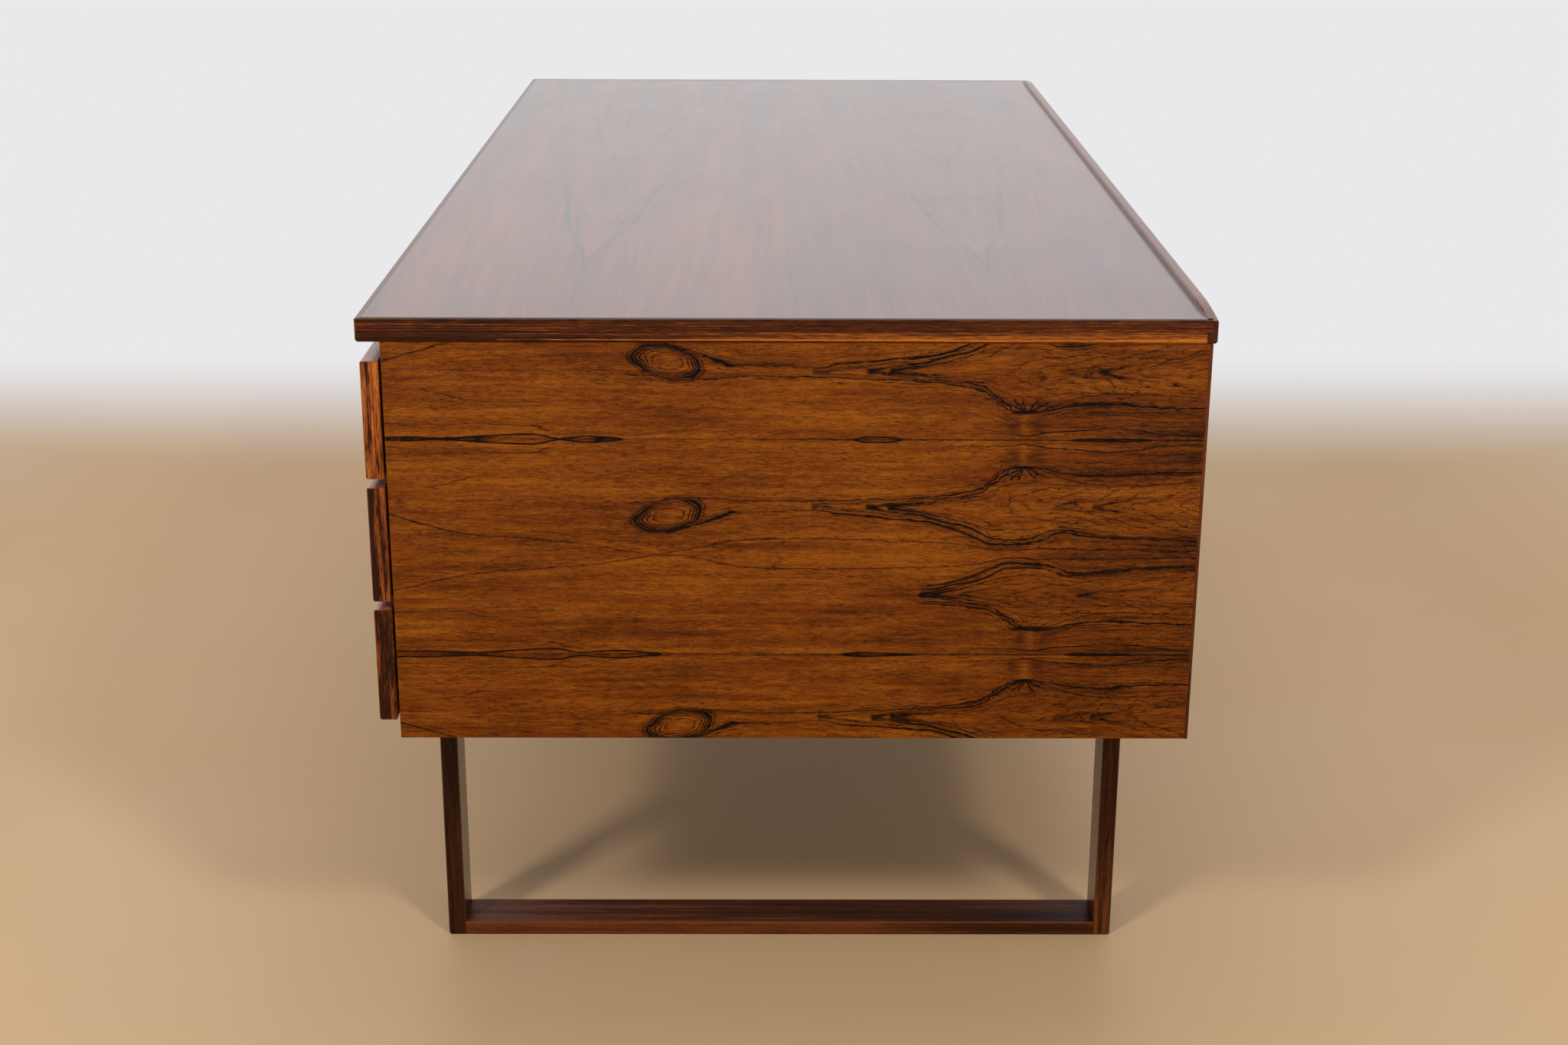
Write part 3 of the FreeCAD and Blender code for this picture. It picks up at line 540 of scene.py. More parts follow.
def front_wood(name, node, seed, lift, slant):
    """A drawer front: flat grain on its face, and upright streaks of end grain on its two ends."""
    tree = Tree(name)
    place = tree.position()
    along, across, depth = place[0], place[2], place[1]
    low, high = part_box(node)
    normal = facing(place)
    ends = upright(normal[0])
    faces = 1.0 - ends
    polished = step(normal[2], *UPRIGHT_FACE) * FRONT_COAT
    grain = vector((along, across, depth))
    end_grain = vector((across, depth, along))
    wander = noise(grain, FRONT_WANDER, seed)
    rings = weighed(across * FRONT_RINGS["across"], FRONT_RINGS, depth=depth, wander=wander)
    streaks = noise(end_grain, END_STREAKS, seed)
    dashes = noise(end_grain, END_DASHES, seed)
    across_depth = (depth - low.y) / (high.y - low.y) - 0.5
    end_tone = weighed(across_depth * slant + MIDDLE_TONE, END_TONES, streaks=streaks, dashes=dashes)
    tone = wood_tone(grain, seed) * faces + (end_tone + lift) * ends
    end_dark = step(dashes + streaks * END_DARK_STREAKS, *END_DARK_SHOWN)
    dark = ink_lines(rings, grain, seed) * faces * FACE_LINE_DARK + end_dark * ends * END_DARK
    colour = tinted(clamp(tone), FRONT)
    pore = pores(grain, seed) * faces
    return finished(tree, place, grain, (low, high), colour, clamp(dark), pore, FRONT, seed, LACQUER,
                    polished)


# The top's veneer. A grain line is points (along x, out from the seam) in millimetres, and its ink points
# (along, how dark from 0 to 1). A flame is how far it is shifted, how wide it opens and how strong it is

TOP_SEED = 31.0
TOP_SEAM = 0.2
TOP_SEAM_HALF = 0.0007
TOP_LIMITS = (-0.8, 0.8)
TOP_REACH = (0.0, 0.1)
TOP_SIDE_SHIFT = 0.02
TOP_ARM = (
    (-800, 95), (0, 95), (85, 92), (110, 84), (125, 66), (145, 54), (210, 48), (300, 41), (360, 34),
    (430, 24), (490, 10), (560, 3), (592, 1), (640, 0), (800, 0))
TOP_ARM_INK = (
    (-800, 0), (40, 0), (100, 0.6), (140, 1), (200, 0.8), (330, 0.9), (430, 0.7), (560, 0.8), (620, 0.2),
    (660, 0), (800, 0))
TOP_FLAMES = ((0.0, 1.0, 1.0), (-0.16, 1.35, 0.45), (-0.55, 1.1, 0.8), (0.10, 0.55, 0.35))
TOP_ARM_HALF = 0.0028
TOP_ARM_WOBBLE = 0.003
TOP_FIELD = {"along": 3.0, "out": 90.0, "sway": 1.2, "wobble": 0.35}
TOP_SWAY = soft(0.30, 0.060, 0.05, 1.0)
TOP_WOBBLE = soft(0.060, 0.016, 0.03, 2.0)
TOP_LINE_SEED = 5.0
TOP_LINE_BREADTH = 0.30
TOP_THREAD_SPACING = 0.008
TOP_THREADS = soft(0.16, 0.0013, 1.0, 17.0)
TOP_THREAD_SHOWN = (0.05, 0.45)
TOP_DARK = {"fine": 0.30, "threads": 0.22, "seam": 0.4}
TOP_CLOUD = soft(0.60, 0.060, 0.05, 11.0)
TOP_STREAKS = soft(0.40, 0.006, 1.0, 15.0, 3.0, 0.6)
TOP_TONES = {"cloud": 0.70, "streaks": 0.80}
TOP_COOL = soft(0.40, 0.10, 0.05, 13.0)
COOL_SHOWN = (-0.1, 0.6)
COOL_SHARE = 0.38
TOP_PORE_SHARE = 0.3


def top_veneer(name, node):
    """The top's four book-matched leaves: nested flames that point to the end at the user's right."""
    tree = Tree(name)
    place = tree.position()
    along = place[0]
    side = maths("SIGN", place[1])
    out = size(size(place[1]) - TOP_SEAM)
    grain = vector((along, out, side * TOP_SIDE_SHIFT))
    sway = noise(grain, TOP_SWAY, TOP_SEED)
    wobble = noise(grain, TOP_WOBBLE, TOP_SEED)
    arms = []
    for shift, spread, strength in TOP_FLAMES:
        line = curve(along - shift, TOP_ARM, TOP_LIMITS, TOP_REACH) * spread
        ink = curve(along - shift, TOP_ARM_INK, TOP_LIMITS, (0.0, MILLIMETRE)) * (1.0 / MILLIMETRE)
        arms.append(hump((out + wobble * TOP_ARM_WOBBLE - line) / TOP_ARM_HALF) * ink * strength)
    field = weighed(along * TOP_FIELD["along"], TOP_FIELD, out=out, sway=sway, wobble=wobble)
    fine = ink_lines(field, grain, TOP_SEED + TOP_LINE_SEED, TOP_LINE_BREADTH)
    with_field = vector((along, field * TOP_THREAD_SPACING, side))
    threads = step(noise(with_field, TOP_THREADS, TOP_SEED), *TOP_THREAD_SHOWN)
    seam = hump(out / TOP_SEAM_HALF)
    dark = weighed(strongest(*arms), TOP_DARK, fine=fine, threads=threads, seam=seam)
    cloud = noise(grain, TOP_CLOUD, TOP_SEED)
    streaks = noise(with_field, TOP_STREAKS, TOP_SEED)
    tone = weighed(MIDDLE_TONE, TOP_TONES, cloud=cloud, streaks=streaks)
    colour = tinted(clamp(tone), TOP_VENEER)
    cool = step(noise(grain, TOP_COOL, TOP_SEED), *COOL_SHOWN)
    colour = mix(cool * COOL_SHARE, colour, TOP_VENEER_COOL)
    pore = pores(grain, TOP_SEED) * TOP_PORE_SHARE
    return finished(tree, place, grain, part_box(node), colour, clamp(dark), pore, TOP_VENEER, TOP_SEED,
                    TOP_LACQUER)


# The end panels' book-matched veneer: four leaves mirrored about two seams and about the line between
# them. Along is y and out is the distance from the leaf's seam. Grain lines are points (along, out), and
# their inks points (along, how dark from 0 to 1), all along and out in millimetres.

UPPER_SEAM = 0.6070
LOWER_SEAM = 0.3948
LEAVES_MEET = 0.4957
LEAF_WIDTH = 0.1113
ALONG_LIMITS = (-0.4, 0.4)
THIRD_LEAF_STRETCH = 0.0104
THIRD_LEAF_SHIFT = 0.013
FOURTH_LEAF_SHIFT = 0.008

NEAR_ARM = (
    (-400, 56), (-300, 58), (-200, 60), (-150, 61), (-123, 59), (-104, 57), (-71, 57.5), (-33, 60),
    (30, 59.5), (80, 57.5), (110, 56), (136, 53.5), (160, 50), (180, 45), (194, 36), (209, 28), (219, 26.4),
    (238, 28), (260, 32.5), (290, 34), (335, 32), (400, 31))
NEAR_ARM_INK = (
    (-400, 0), (-160, 0), (-140, 0.5), (-104, 0.5), (-70, 0.45), (25, 0.5), (60, 0.55), (130, 0.7),
    (190, 0.8), (205, 0.5), (219, 0.2), (235, 0.5), (260, 0.7), (300, 0.75), (400, 0.6))
AXIS = (
    (-400, 58), (-300, 66), (-200, 74), (-138, 76.5), (-110, 73.5), (-78, 68.5), (-40, 66), (25, 64.5),
    (100, 65.3), (150, 66), (220, 65), (300, 64), (400, 64))
FAR_ARM = (
    (-400, 60), (-350, 67), (-300, 74), (-250, 80), (-200, 85), (-160, 88.5), (-135, 90.5), (-110, 90),
    (-92, 85.5), (-77, 79), (-60, 73.5), (-46, 71), (-7, 70.5), (25, 68), (48, 71.5), (74, 73), (100, 76),
    (127, 78.5), (143, 82), (159, 88), (180, 97), (196, 102.5), (220, 102), (241, 97), (259, 90.5),
    (275, 92.5), (312, 96), (365, 97.5), (400, 101))
FAR_ARM_INK = (
    (-400, 0), (-125, 0), (-110, 0.8), (-90, 0.95), (-66, 1), (-50, 0.6), (-20, 0.35), (25, 0.4), (60, 0.65),
    (130, 0.7), (145, 1), (185, 0.95), (220, 0.85), (260, 0.7), (400, 0.75))
EDGE_LINE = (
    (-400, 66), (-366, 73.5), (-343, 80.5), (-322, 86), (-302, 90.5), (-271, 95), (-242, 97), (-186, 101.5),
    (-149, 108.5), (-124, 111), (-98, 108), (-72, 102.5), (-46, 98.5), (24, 96), (120, 98.5), (171, 103),
    (200, 107.5), (240, 106), (400, 108))
EDGE_LINE_INK = (
    (-400, 0.3), (-340, 0.5), (-300, 0.45), (-240, 0.35), (-100, 0.4), (-40, 0.45), (60, 0.4), (160, 0.35),
    (200, 0.5), (300, 0.4), (400, 0.4))
SECOND_ARM = (
    (-400, 63), (60, 64), (87, 62.6), (108, 58.9), (126, 56.9), (152, 54.9), (173, 52.6), (189, 42.9),
    (202, 34.7), (212, 28), (225, 27.5), (241, 31.8), (257, 37.2), (278, 42.6), (296, 43.9), (335, 42.4),
    (400, 39))
SECOND_ARM_INK = (
    (-400, 0), (70, 0), (95, 0.6), (150, 0.55), (185, 0.9), (212, 1), (230, 0.5), (257, 0.5), (300, 0.45),
    (400, 0.35))
INNER_FAR = (
    (-400, 68), (90, 68), (106, 71.4), (127, 73.5), (143, 78.4), (164, 83.1), (180, 90), (196, 96.9),
    (220, 97.6), (233, 94), (251, 88.3), (272, 89.6), (299, 93.7), (352, 94.9), (400, 89))
INNER_FAR_INK = (
    (-400, 0), (95, 0), (110, 0.5), (145, 1), (180, 0.9), (225, 0.6), (260, 0.6), (300, 0.5), (400, 0.4))
NEAR_SEAM = (
    (-400, 16), (-315, 13.5), (-270, 13), (-226, 11.5), (-219, 8), (-205, 8), (100, 8), (156, 6.4), (203, 6),
    (219, 4.1), (242, 7.8), (268, 9.3), (289, 11.2), (321, 9.7), (346, 5.5), (400, 4))
NEAR_SEAM_INK = (
    (-400, 0.3), (-250, 0.35), (-224, 0.6), (-214, 0.1), (-190, 0), (130, 0), (160, 0.4), (203, 0.5),
    (242, 0.7), (289, 0.6), (400, 0.6))
SHORT_STROKE = ((-400, 47), (-333, 45), (-313, 42.5), (-296, 38.5), (-250, 34), (400, 34))
SHORT_STROKE_INK = ((-400, 0), (-350, 0.1), (-315, 0.35), (-296, 0.45), (-286, 0), (400, 0))
LENS_1 = (
    (-400, 0.8), (-369, 1.2), (-346, 1.7), (-326, 0.8), (-316, 0.5), (-301, 1.1), (-275, 3.2), (-250, 4.4),
    (-234, 4.8), (-224, 3.7), (-214, 1.2), (-209, 0.4), (-198, 1.5), (-183, 2.9), (-165, 1.9), (-152, 0.5),
    (-135, 0), (57, 0), (64, 0.6), (70, 2.2), (86, 2.6), (98, 2), (104, 0.6), (112, 0), (250, 0), (275, 0.8),
    (300, 1.2), (325, 0.6), (350, 0), (400, 0))
LENS_1_FILL = (
    (-400, 1), (-318, 1), (-285, 0.9), (-268, 0.5), (-255, 0.06), (-214, 0), (-205, 0.7), (-195, 0.6),
    (-182, 0.3), (-174, 0.9), (-135, 1), (60, 0.8), (72, 0.2), (95, 0.2), (112, 0.9), (250, 1), (400, 1))
LENS_2 = (
    (-400, 2.8), (-336, 2.7), (-306, 1.7), (-293, 1.2), (-270, 2.8), (-244, 4.5), (-230, 5.2), (-216, 5.4),
    (-204, 3), (-193, 1.6), (-178, 2.6), (-159, 3.8), (-138, 2.3), (-122, 1), (-112, 0), (50, 0), (58, 1),
    (76, 1.9), (95, 1), (120, 0.4), (146, 0), (255, 0), (275, 0.7), (300, 0.9), (325, 0.4), (340, 0),
    (400, 0))
LENS_2_FILL = (
    (-400, 0.15), (-330, 0.3), (-300, 0.8), (-285, 0.6), (-265, 0.15), (-204, 0.1), (-150, 0.15), (-130, 0.8),
    (-112, 1), (55, 1), (70, 0.6), (90, 0.7), (146, 1), (400, 1))

# Strokes: a line, its ink and its breadth
ARMS = (
    (NEAR_ARM, NEAR_ARM_INK, 1.0), (FAR_ARM, FAR_ARM_INK, 1.15), (SECOND_ARM, SECOND_ARM_INK, 1.0),
    (INNER_FAR, INNER_FAR_INK, 1.1))
EDGES = (
    (EDGE_LINE, EDGE_LINE_INK, 1.2), (NEAR_SEAM, NEAR_SEAM_INK, 0.7), (SHORT_STROKE, SHORT_STROKE_INK, 0.9))
STROKE_HALF = 0.00036
STROKE_GROWTH = 0.00062
STROKE_FIRM = 1.3
STROKE_INK = 1.4

# Fine lines beside an arm: how far off and how strong they are
ARM_COMPANIONS = ((-0.0026, 0.65), (0.0022, 0.6), (0.0050, 0.5), (-0.0056, 0.45))
COMPANION_HALF = 0.00055
COMPANION_SPREAD = 0.5
COMPANION_SHOWN = (0.05, 0.35)
COMPANION_BY_INK = 0.4
COMPANION_INK = 1.6
COMPANION_PARTS = soft(0.050, 0.020, 0.03, 43.0)

LENS_HALF = 0.00074
LENS_FIRM = 1.4
LENS_PRESENT = (0.0001, 0.0005)
LENS_INSIDE = (-0.0002, 0.0003)
LENS_JAG = 0.0001
LENS_STREAKS = soft(0.045, 0.0011, 0.03, 67.0)
LENS_STREAK_WEIGHT = 0.55
LENS_INK = 0.80

# The knot's rings: how far out, how broad and how strong they are
KNOT_RINGS = (
    (1.00, 0.062, 1.0), (0.88, 0.040, 1.0), (0.77, 0.032, 0.95), (0.64, 0.030, 0.80), (1.15, 0.036, 0.60),
    (0.45, 0.032, 0.60))
KNOT_MIDDLE = (-0.1095, 0.0735)
KNOT_HALF = (0.0300, 0.0148)
KNOT_LEAN = 0.14
KNOT_WARP = soft(0.020, 0.011, 0.03, 51.0, 1.0)
KNOT_WARP_SHARE = 0.20
KNOT_FIRM = 1.4
KNOT_THICK = {"ends": 0.9, "outside": 0.16, "least": 0.74}
KNOT_BEND = {"along": 0.0020, "wobble": 0.0012, "sway": 0.0015}
KNOT_INSIDE = (0.85, 1.05)
KNOT_HALO = (0.95, 1.45)
KNOT_TAIL = {"along": -0.062, "length": 0.024, "half": 0.0021, "firm": 1.3}

# The eye's rays: the way they head, in radians, and how long they are
EYE_RAYS = ((0.40, 0.032), (0.80, 0.020), (1.95, 0.017), (2.35, 0.024), (2.72, 0.034))
EYE = (0.219, 0.0266)
EYE_HALF = (0.0095, 0.0015)
EYE_GROWTH = (0.008, 0.0006)
EYE_FIRM = 1.9
EYE_JAG = 0.0004
RAY_HALF = 0.00080
RAY_JAG = 0.16
RAY_FADE_SHARE = 0.45
RAY_START = (0.001, 0.004)
RAY_FIRM = 1.2
RAY_LOSS = 0.6
EYE_STAINS = ((-0.011, 0.0065), (0.012, 0.0075))
EYE_STAIN_OUT = (0.013, 0.011)
EYE_PALE = (0.0034, 0.015, 0.0070)

# Flames: where the tip is, how fast they open, how strong they are and their share of the room to the arm
FLAMES = (
    (0.025, 0.045, 0.65, 0.84), (0.075, 0.036, 0.9, 0.80), (0.094, 0.030, 1.0, 0.62),
    (0.101, 0.024, 0.7, 0.42), (0.250, 0.040, 0.5, 0.30), (0.285, 0.050, 0.65, 0.44))
THIRD_LEAF_FLAMES = (
    (0.114, 0.030, 1.0, 0.86), (0.124, 0.028, 0.9, 0.66), (0.150, 0.030, 0.6, 0.45),
    (0.262, 0.050, 0.5, 0.35))
FLAME_TIP = (-0.004, 0.001)
FLAME_FADE = 0.060
FLAME_TIP_REACH = 0.010
FLAME_HALF = {"tip": 0.0019, "fading": 0.0006, "least": 0.0005}
FLAME_FIRM = 1.3
FLAME_INK = {"fading": 0.75, "least": 0.3}

CURLS = {"density": 34.0, "reach": 4.2, "round": 0.003, "breadth": 0.085, "seed": 7.0}
CURL_SHOWN = (0.15, 0.55)
CURL_BREAKS = soft(0.018, 0.008, 0.03, 65.0)
CURL_BREAK_WEIGHT = 0.6
CURL_WOBBLE = 0.9
CURL_INK = {"flame": 0.56, "all": 0.04}

# Squiggles: their seed, and the level of soft noise that they follow and how near it they keep
SQUIGGLES = ((23.0, 0.12, 0.034), (27.0, -0.10, 0.032), (29.0, 0.26, 0.034), (61.0, 0.0, 0.028))
SQUIGGLE_FIELD = soft(0.046, 0.0100, 0.03)
SQUIGGLE_PARTS = soft(0.040, 0.014, 0.03, 1.7)
SQUIGGLE_SHOWN = (-0.05, 0.20)
SQUIGGLE_INK = {"flame": 0.14, "all": 0.20}

LEAF_SEED = 2.0
LEAF_SHIFT = 0.006
LEAF_SWAY = soft(0.13, 0.030, 0.03, 1.0)
LEAF_WOBBLE = soft(0.022, 0.008, 0.03, 2.0, 3.0, 0.6)
LEAF_JAG = soft(0.0080, 0.0030, 0.03, 2.6, 3.0, 0.65)
ALONG_BEND = {"wobble": 0.0045, "jag": 0.0012}
OUT_BEND = {"sway": 0.0030, "wobble": 0.0026, "jag": 0.0012}
CALM_BY_SEAM = (0.004, 0.016)
THIRD_LEAF_WIDER = (0.030, 0.095)
THIRD_LEAF_ARMS = (0.10, 0.125)

STRIPED_PART = (0.15, 0.30)
STRIPED_BY_SEAM = (-0.010, 0.016)
STRIPED_BY_EDGE = (-0.012, 0.006)
STRIPED_EDGE_PART = (0.10, 0.26)
FLAME_PART = (0.11, 0.17)
FLAME_BY_NEAR = (0.0, 0.016)
FLAME_BY_FAR = (-0.014, 0.0)

RINGS_TO_NEAR = 8.0
RINGS_BETWEEN = 2.0
RING_DENSITY_BEYOND = 160.0
RING_BENDS = {"sway": 0.7, "wobble": 0.35}
RING_LINE_BREADTH = 0.20
FINE_RINGS = {"share": 2.7, "seed": 9.0, "breadth": 0.30}
THREAD_SPACING = 0.0075
THREADS = soft(0.11, 0.0015, 1.0, 63.0, 1.0)
THREAD_SHOWN = (0.10, 0.38)
# How much darker rings, fine rings and threads are where the leaf is striped, and how dark elsewhere
STRIPED_INK = ((0.20, 0.28), (0.20, 0.24), (0.46, 0.10))

SEAM_HALF = 0.00055
SEAM_PATCHES = soft(0.05, 1.0, 0.03, 3.3)
SEAM_REAR = (-0.02, 0.06)
SEAM_INK = {"patches": 0.6, "rear": 0.35}
SEAM_LEAST_INK = 0.50
BROKEN = soft(0.010, 0.003, 0.03, 37.0)
BROKEN_INK = {"wobble": 0.40, "broken": 0.40}
WHOLE_INK = 0.98

CROWDING = soft(0.040, 0.012, 0.03, 47.0)
DASHES = {"kind": soft(0.0080, 0.0011, 0.03, 45.0, 1.0), "crowding": 0.35, "shown": (0.14, 0.40), "ink": 0.40}
SPECKS = {
    "kind": soft(0.0036, 0.0012, 0.03, 49.0, 1.0), "crowding": -0.25, "shown": (0.16, 0.42), "ink": 0.22}

LEAF_TONE = 0.13
LEAF_CALM = 0.95
BAND_SPACING = 0.010
LEAF_BANDS = soft(0.30, 0.018, 1.0, 6.0, 3.0, 0.6)
MOTTLE = soft(0.060, 0.020, 0.03, 7.0, 3.0, 0.65)
FLECKS = soft(0.012, 0.0030, 0.03, 41.0, rough=0.6)
GRIT = soft(0.0022, 0.0011, 0.03, 69.0, 1.0)
PATCHES = soft(0.20, 0.050, 0.03, 53.0)
DUSKY_PART = (0.05, 0.40)
LEAF_TONES = {
    "grit": 0.16, "bands": 0.38, "mottle": 0.30, "flecks": 0.34, "pale": 0.24, "flame": 0.06, "stain": -0.34,
    "patches": 0.30, "striped": -0.26, "dusky": -0.16, "halo": -0.24, "knot": 0.24, "lens": -0.15}
RED = soft(0.11, 0.016, 0.03, 31.0)
RED_SHOWN = (-0.1, 0.6)
RED_SHARE = 0.35
LENS_RED_SHARE = 0.25


def guide(along, points):
    """How far out a grain line is, in metres."""
    return curve(along, points, ALONG_LIMITS, (0.0, LEAF_WIDTH))


def inked(along, points):
    """How dark a grain line is, from 0 to 1."""
    return curve(along, points, ALONG_LIMITS, (0.0, MILLIMETRE)) * (1.0 / MILLIMETRE)


class Leaf:
    """Where a point of an end panel lies on its leaf of veneer, and the leaf's main lines there."""

    def __init__(self, tree):
        place = tree.position()
        place[0] = size(place[0])
        lower_pair = maths("LESS_THAN", place[2], LEAVES_MEET)
        seam = lower_pair * (LOWER_SEAM - UPPER_SEAM) + UPPER_SEAM
        above = maths("GREATER_THAN", place[2], seam)
        third = lower_pair * above
        fourth = lower_pair * (1.0 - above)
        out = size(place[2] - seam)
        self.place = place
        self.along = place[1]
        self.lower_pair = lower_pair
        self.third = third
        self.out = out + third * step(out, *THIRD_LEAF_WIDER) * THIRD_LEAF_STRETCH
        self.shifted = self.along - third * THIRD_LEAF_SHIFT - fourth * FOURTH_LEAF_SHIFT
        self.number = lower_pair * 2.0 + above
        self.grain = vector((self.along, self.out, self.number * LEAF_SHIFT))
        self.sway = self.noise(LEAF_SWAY)
        self.wobble = self.noise(LEAF_WOBBLE)
        self.jag = self.noise(LEAF_JAG)
        self.bent_along = weighed(self.shifted, ALONG_BEND, wobble=self.wobble, jag=self.jag)
        bend = self.sway * OUT_BEND["sway"] + self.wobble * OUT_BEND["wobble"]
        self.bent = self.out + bend * step(self.out, *CALM_BY_SEAM) + self.jag * OUT_BEND["jag"]
        self.near, self.axis, self.far, self.edge = (guide(self.bent_along, line)
                                                     for line in (NEAR_ARM, AXIS, FAR_ARM, EDGE_LINE))
        from_axis = self.bent - self.axis
        beyond = maths("GREATER_THAN", from_axis, 0.0)
        self.off = size(from_axis)
        self.room = (self.far - self.axis) * beyond + (self.axis - self.near) * (1.0 - beyond)
        self.rings = self.ring_count()

    def noise(self, kind):
        return noise(self.grain, kind, LEAF_SEED)

    def of_pair(self, upper, lower):
        """One value in the upper two leaves and another in the lower two."""
        return upper * (1.0 - self.lower_pair) + lower * self.lower_pair

    def ring_count(self):
        """How many growth rings lie between the seam and a point."""
        bent = self.bent
        count = clamp(bent / self.near) * RINGS_TO_NEAR
        for start, end in ((self.near, self.axis), (self.axis, self.far), (self.far, self.edge)):
            count = count + clamp((bent - start) / (end - start)) * RINGS_BETWEEN
        beyond = maths("MAXIMUM", bent - self.edge, 0.0)
        return weighed(count + beyond * RING_DENSITY_BEYOND, RING_BENDS, sway=self.sway, wobble=self.wobble)

    def ring_noise(self, kind, spacing):
        """Soft noise along the growth rings."""
        place = vector((self.along, self.rings * spacing, self.number))
        return noise(place, kind, LEAF_SEED)


def striped_part(leaf):
    """Where the leaf is striped: in its rear third, by its seam and its edge."""
    by_seam = 1.0 - step(leaf.bent - leaf.near, *STRIPED_BY_SEAM)
    by_edge = step(leaf.bent - leaf.far, *STRIPED_BY_EDGE) * step(leaf.along, *STRIPED_EDGE_PART)
    return step(leaf.along, *STRIPED_PART) * strongest(by_seam, by_edge)


def flame_part(leaf):
    """Where the flames are: behind the middle, between the two arms."""
    between = step(leaf.bent - leaf.near, *FLAME_BY_NEAR)
    between = between * (1.0 - step(leaf.bent - leaf.far, *FLAME_BY_FAR))
    return between * step(leaf.along, *FLAME_PART)


def strokes(leaf, lines):
    """Dark grain lines that grow broader where they are darker."""
    along, total = leaf.bent_along, 0.0
    for line, ink, breadth in lines:
        dark = inked(along, ink)
        width = dark * (STROKE_GROWTH * breadth) + STROKE_HALF * breadth
        firm = clamp(hump((leaf.bent - guide(along, line)) / width) * STROKE_FIRM)
        total = strongest(total, firm * clamp(dark * STROKE_INK))
    return total


def companions(leaf, line, ink, parts):
    """Fine lines that keep to both sides of an arm, each broken where soft noise says so."""
    total = 0.0
    dark = inked(leaf.bent_along, ink)
    for count, (gap, strength) in enumerate(ARM_COMPANIONS):
        sign = 1.0 - 2.0 * (count % 2)
        present = step(parts * sign + dark * COMPANION_BY_INK, *COMPANION_SHOWN)
        off = leaf.bent - line - (parts * COMPANION_SPREAD + 1.0) * gap
        total = strongest(total, hump(off / COMPANION_HALF) * present * strength)
    return total * clamp(dark * COMPANION_INK)


def main_lines(leaf):
    """The arms of the figure with their companions, and the lines along the edge and the seam."""
    parts = leaf.noise(COMPANION_PARTS)
    arms = strongest(strokes(leaf, ARMS), companions(leaf, leaf.near, NEAR_ARM_INK, parts),
                     companions(leaf, leaf.far, FAR_ARM_INK, parts))
    shown = 1.0 - leaf.third * (1.0 - step(leaf.shifted, *THIRD_LEAF_ARMS))
    return strongest(arms * shown, strokes(leaf, EDGES))


def lenses(leaf):
    """The long lens shapes on the seams: their outlines and how dark they are inside, and where they are."""
    along = leaf.along
    out = leaf.out + leaf.jag * LENS_JAG
    half = leaf.of_pair(guide(along, LENS_1), guide(along, LENS_2))
    fill = leaf.of_pair(inked(along, LENS_1_FILL), inked(along, LENS_2_FILL))
    present = step(half, *LENS_PRESENT)
    outline = clamp(hump((out - half) / LENS_HALF) * LENS_FIRM) * present
    inside = step(half - out, *LENS_INSIDE) * present
    streaks = leaf.noise(LENS_STREAKS) * LENS_STREAK_WEIGHT + LENS_INK
    return strongest(outline, inside * fill * streaks), inside


def seam_line(leaf):
    """The thin dark line where two leaves are joined."""
    ink = weighed(SEAM_LEAST_INK, SEAM_INK, patches=leaf.noise(SEAM_PATCHES),
                  rear=step(leaf.along, *SEAM_REAR))
    return hump(leaf.out / SEAM_HALF) * ink


def knot_marks(leaf):
    """The knot's rings with its tail, its inside and its halo. The third leaf has none of them."""
    along = leaf.shifted + leaf.wobble * KNOT_BEND["along"]
    out = weighed(leaf.out, KNOT_BEND, wobble=leaf.wobble, sway=leaf.sway)
    across = (along - KNOT_MIDDLE[0]) / KNOT_HALF[0]
    down = (out - KNOT_MIDDLE[1] + (along - KNOT_MIDDLE[0]) * KNOT_LEAN) / KNOT_HALF[1]
    warp = noise(vector((along, out, 0.0)), KNOT_WARP)
    reach = maths("SQRT", across * across + down * down) + warp * KNOT_WARP_SHARE
    ends = clamp(across * across * KNOT_THICK["ends"] + down * KNOT_THICK["outside"] + KNOT_THICK["least"])
    rings = 0.0
    for level, width, strength in KNOT_RINGS:
        rings = strongest(rings, clamp(hump((reach - level) / width) * KNOT_FIRM) * strength)
    tail = hump((leaf.bent_along - KNOT_TAIL["along"]) / KNOT_TAIL["length"],
                (leaf.bent - leaf.far) / KNOT_TAIL["half"])
    kept = 1.0 - leaf.third
    marks = strongest(rings * ends, tail * KNOT_TAIL["firm"]) * kept
    return marks, (1.0 - step(reach, *KNOT_INSIDE)) * kept, (1.0 - step(reach, *KNOT_HALO)) * kept


def eye_marks(leaf):
    """The pinched eye: a flat dark spot and the rays that leave it on its far side."""
    over = leaf.bent_along - EYE[0]
    down = leaf.out + leaf.jag * EYE_JAG - EYE[1]
    halves = [leaf.third * growth + half for growth, half in zip(EYE_GROWTH, EYE_HALF)]
    spot = clamp(hump(over / halves[0], down / halves[1]) * EYE_FIRM)
    radius = maths("SQRT", over * over + down * down)
    angle = maths("ARCTAN2", down, over) + leaf.jag * RAY_JAG
    rays = 0.0
    for heading, length in EYE_RAYS:
        beam = hump((angle - heading) * radius / RAY_HALF)
        beam = beam * (1.0 - step(radius, length * RAY_FADE_SHARE, length))
        rays = strongest(rays, beam * step(radius, *RAY_START))
    return strongest(spot, clamp(rays * RAY_FIRM) * (1.0 - leaf.third * RAY_LOSS))


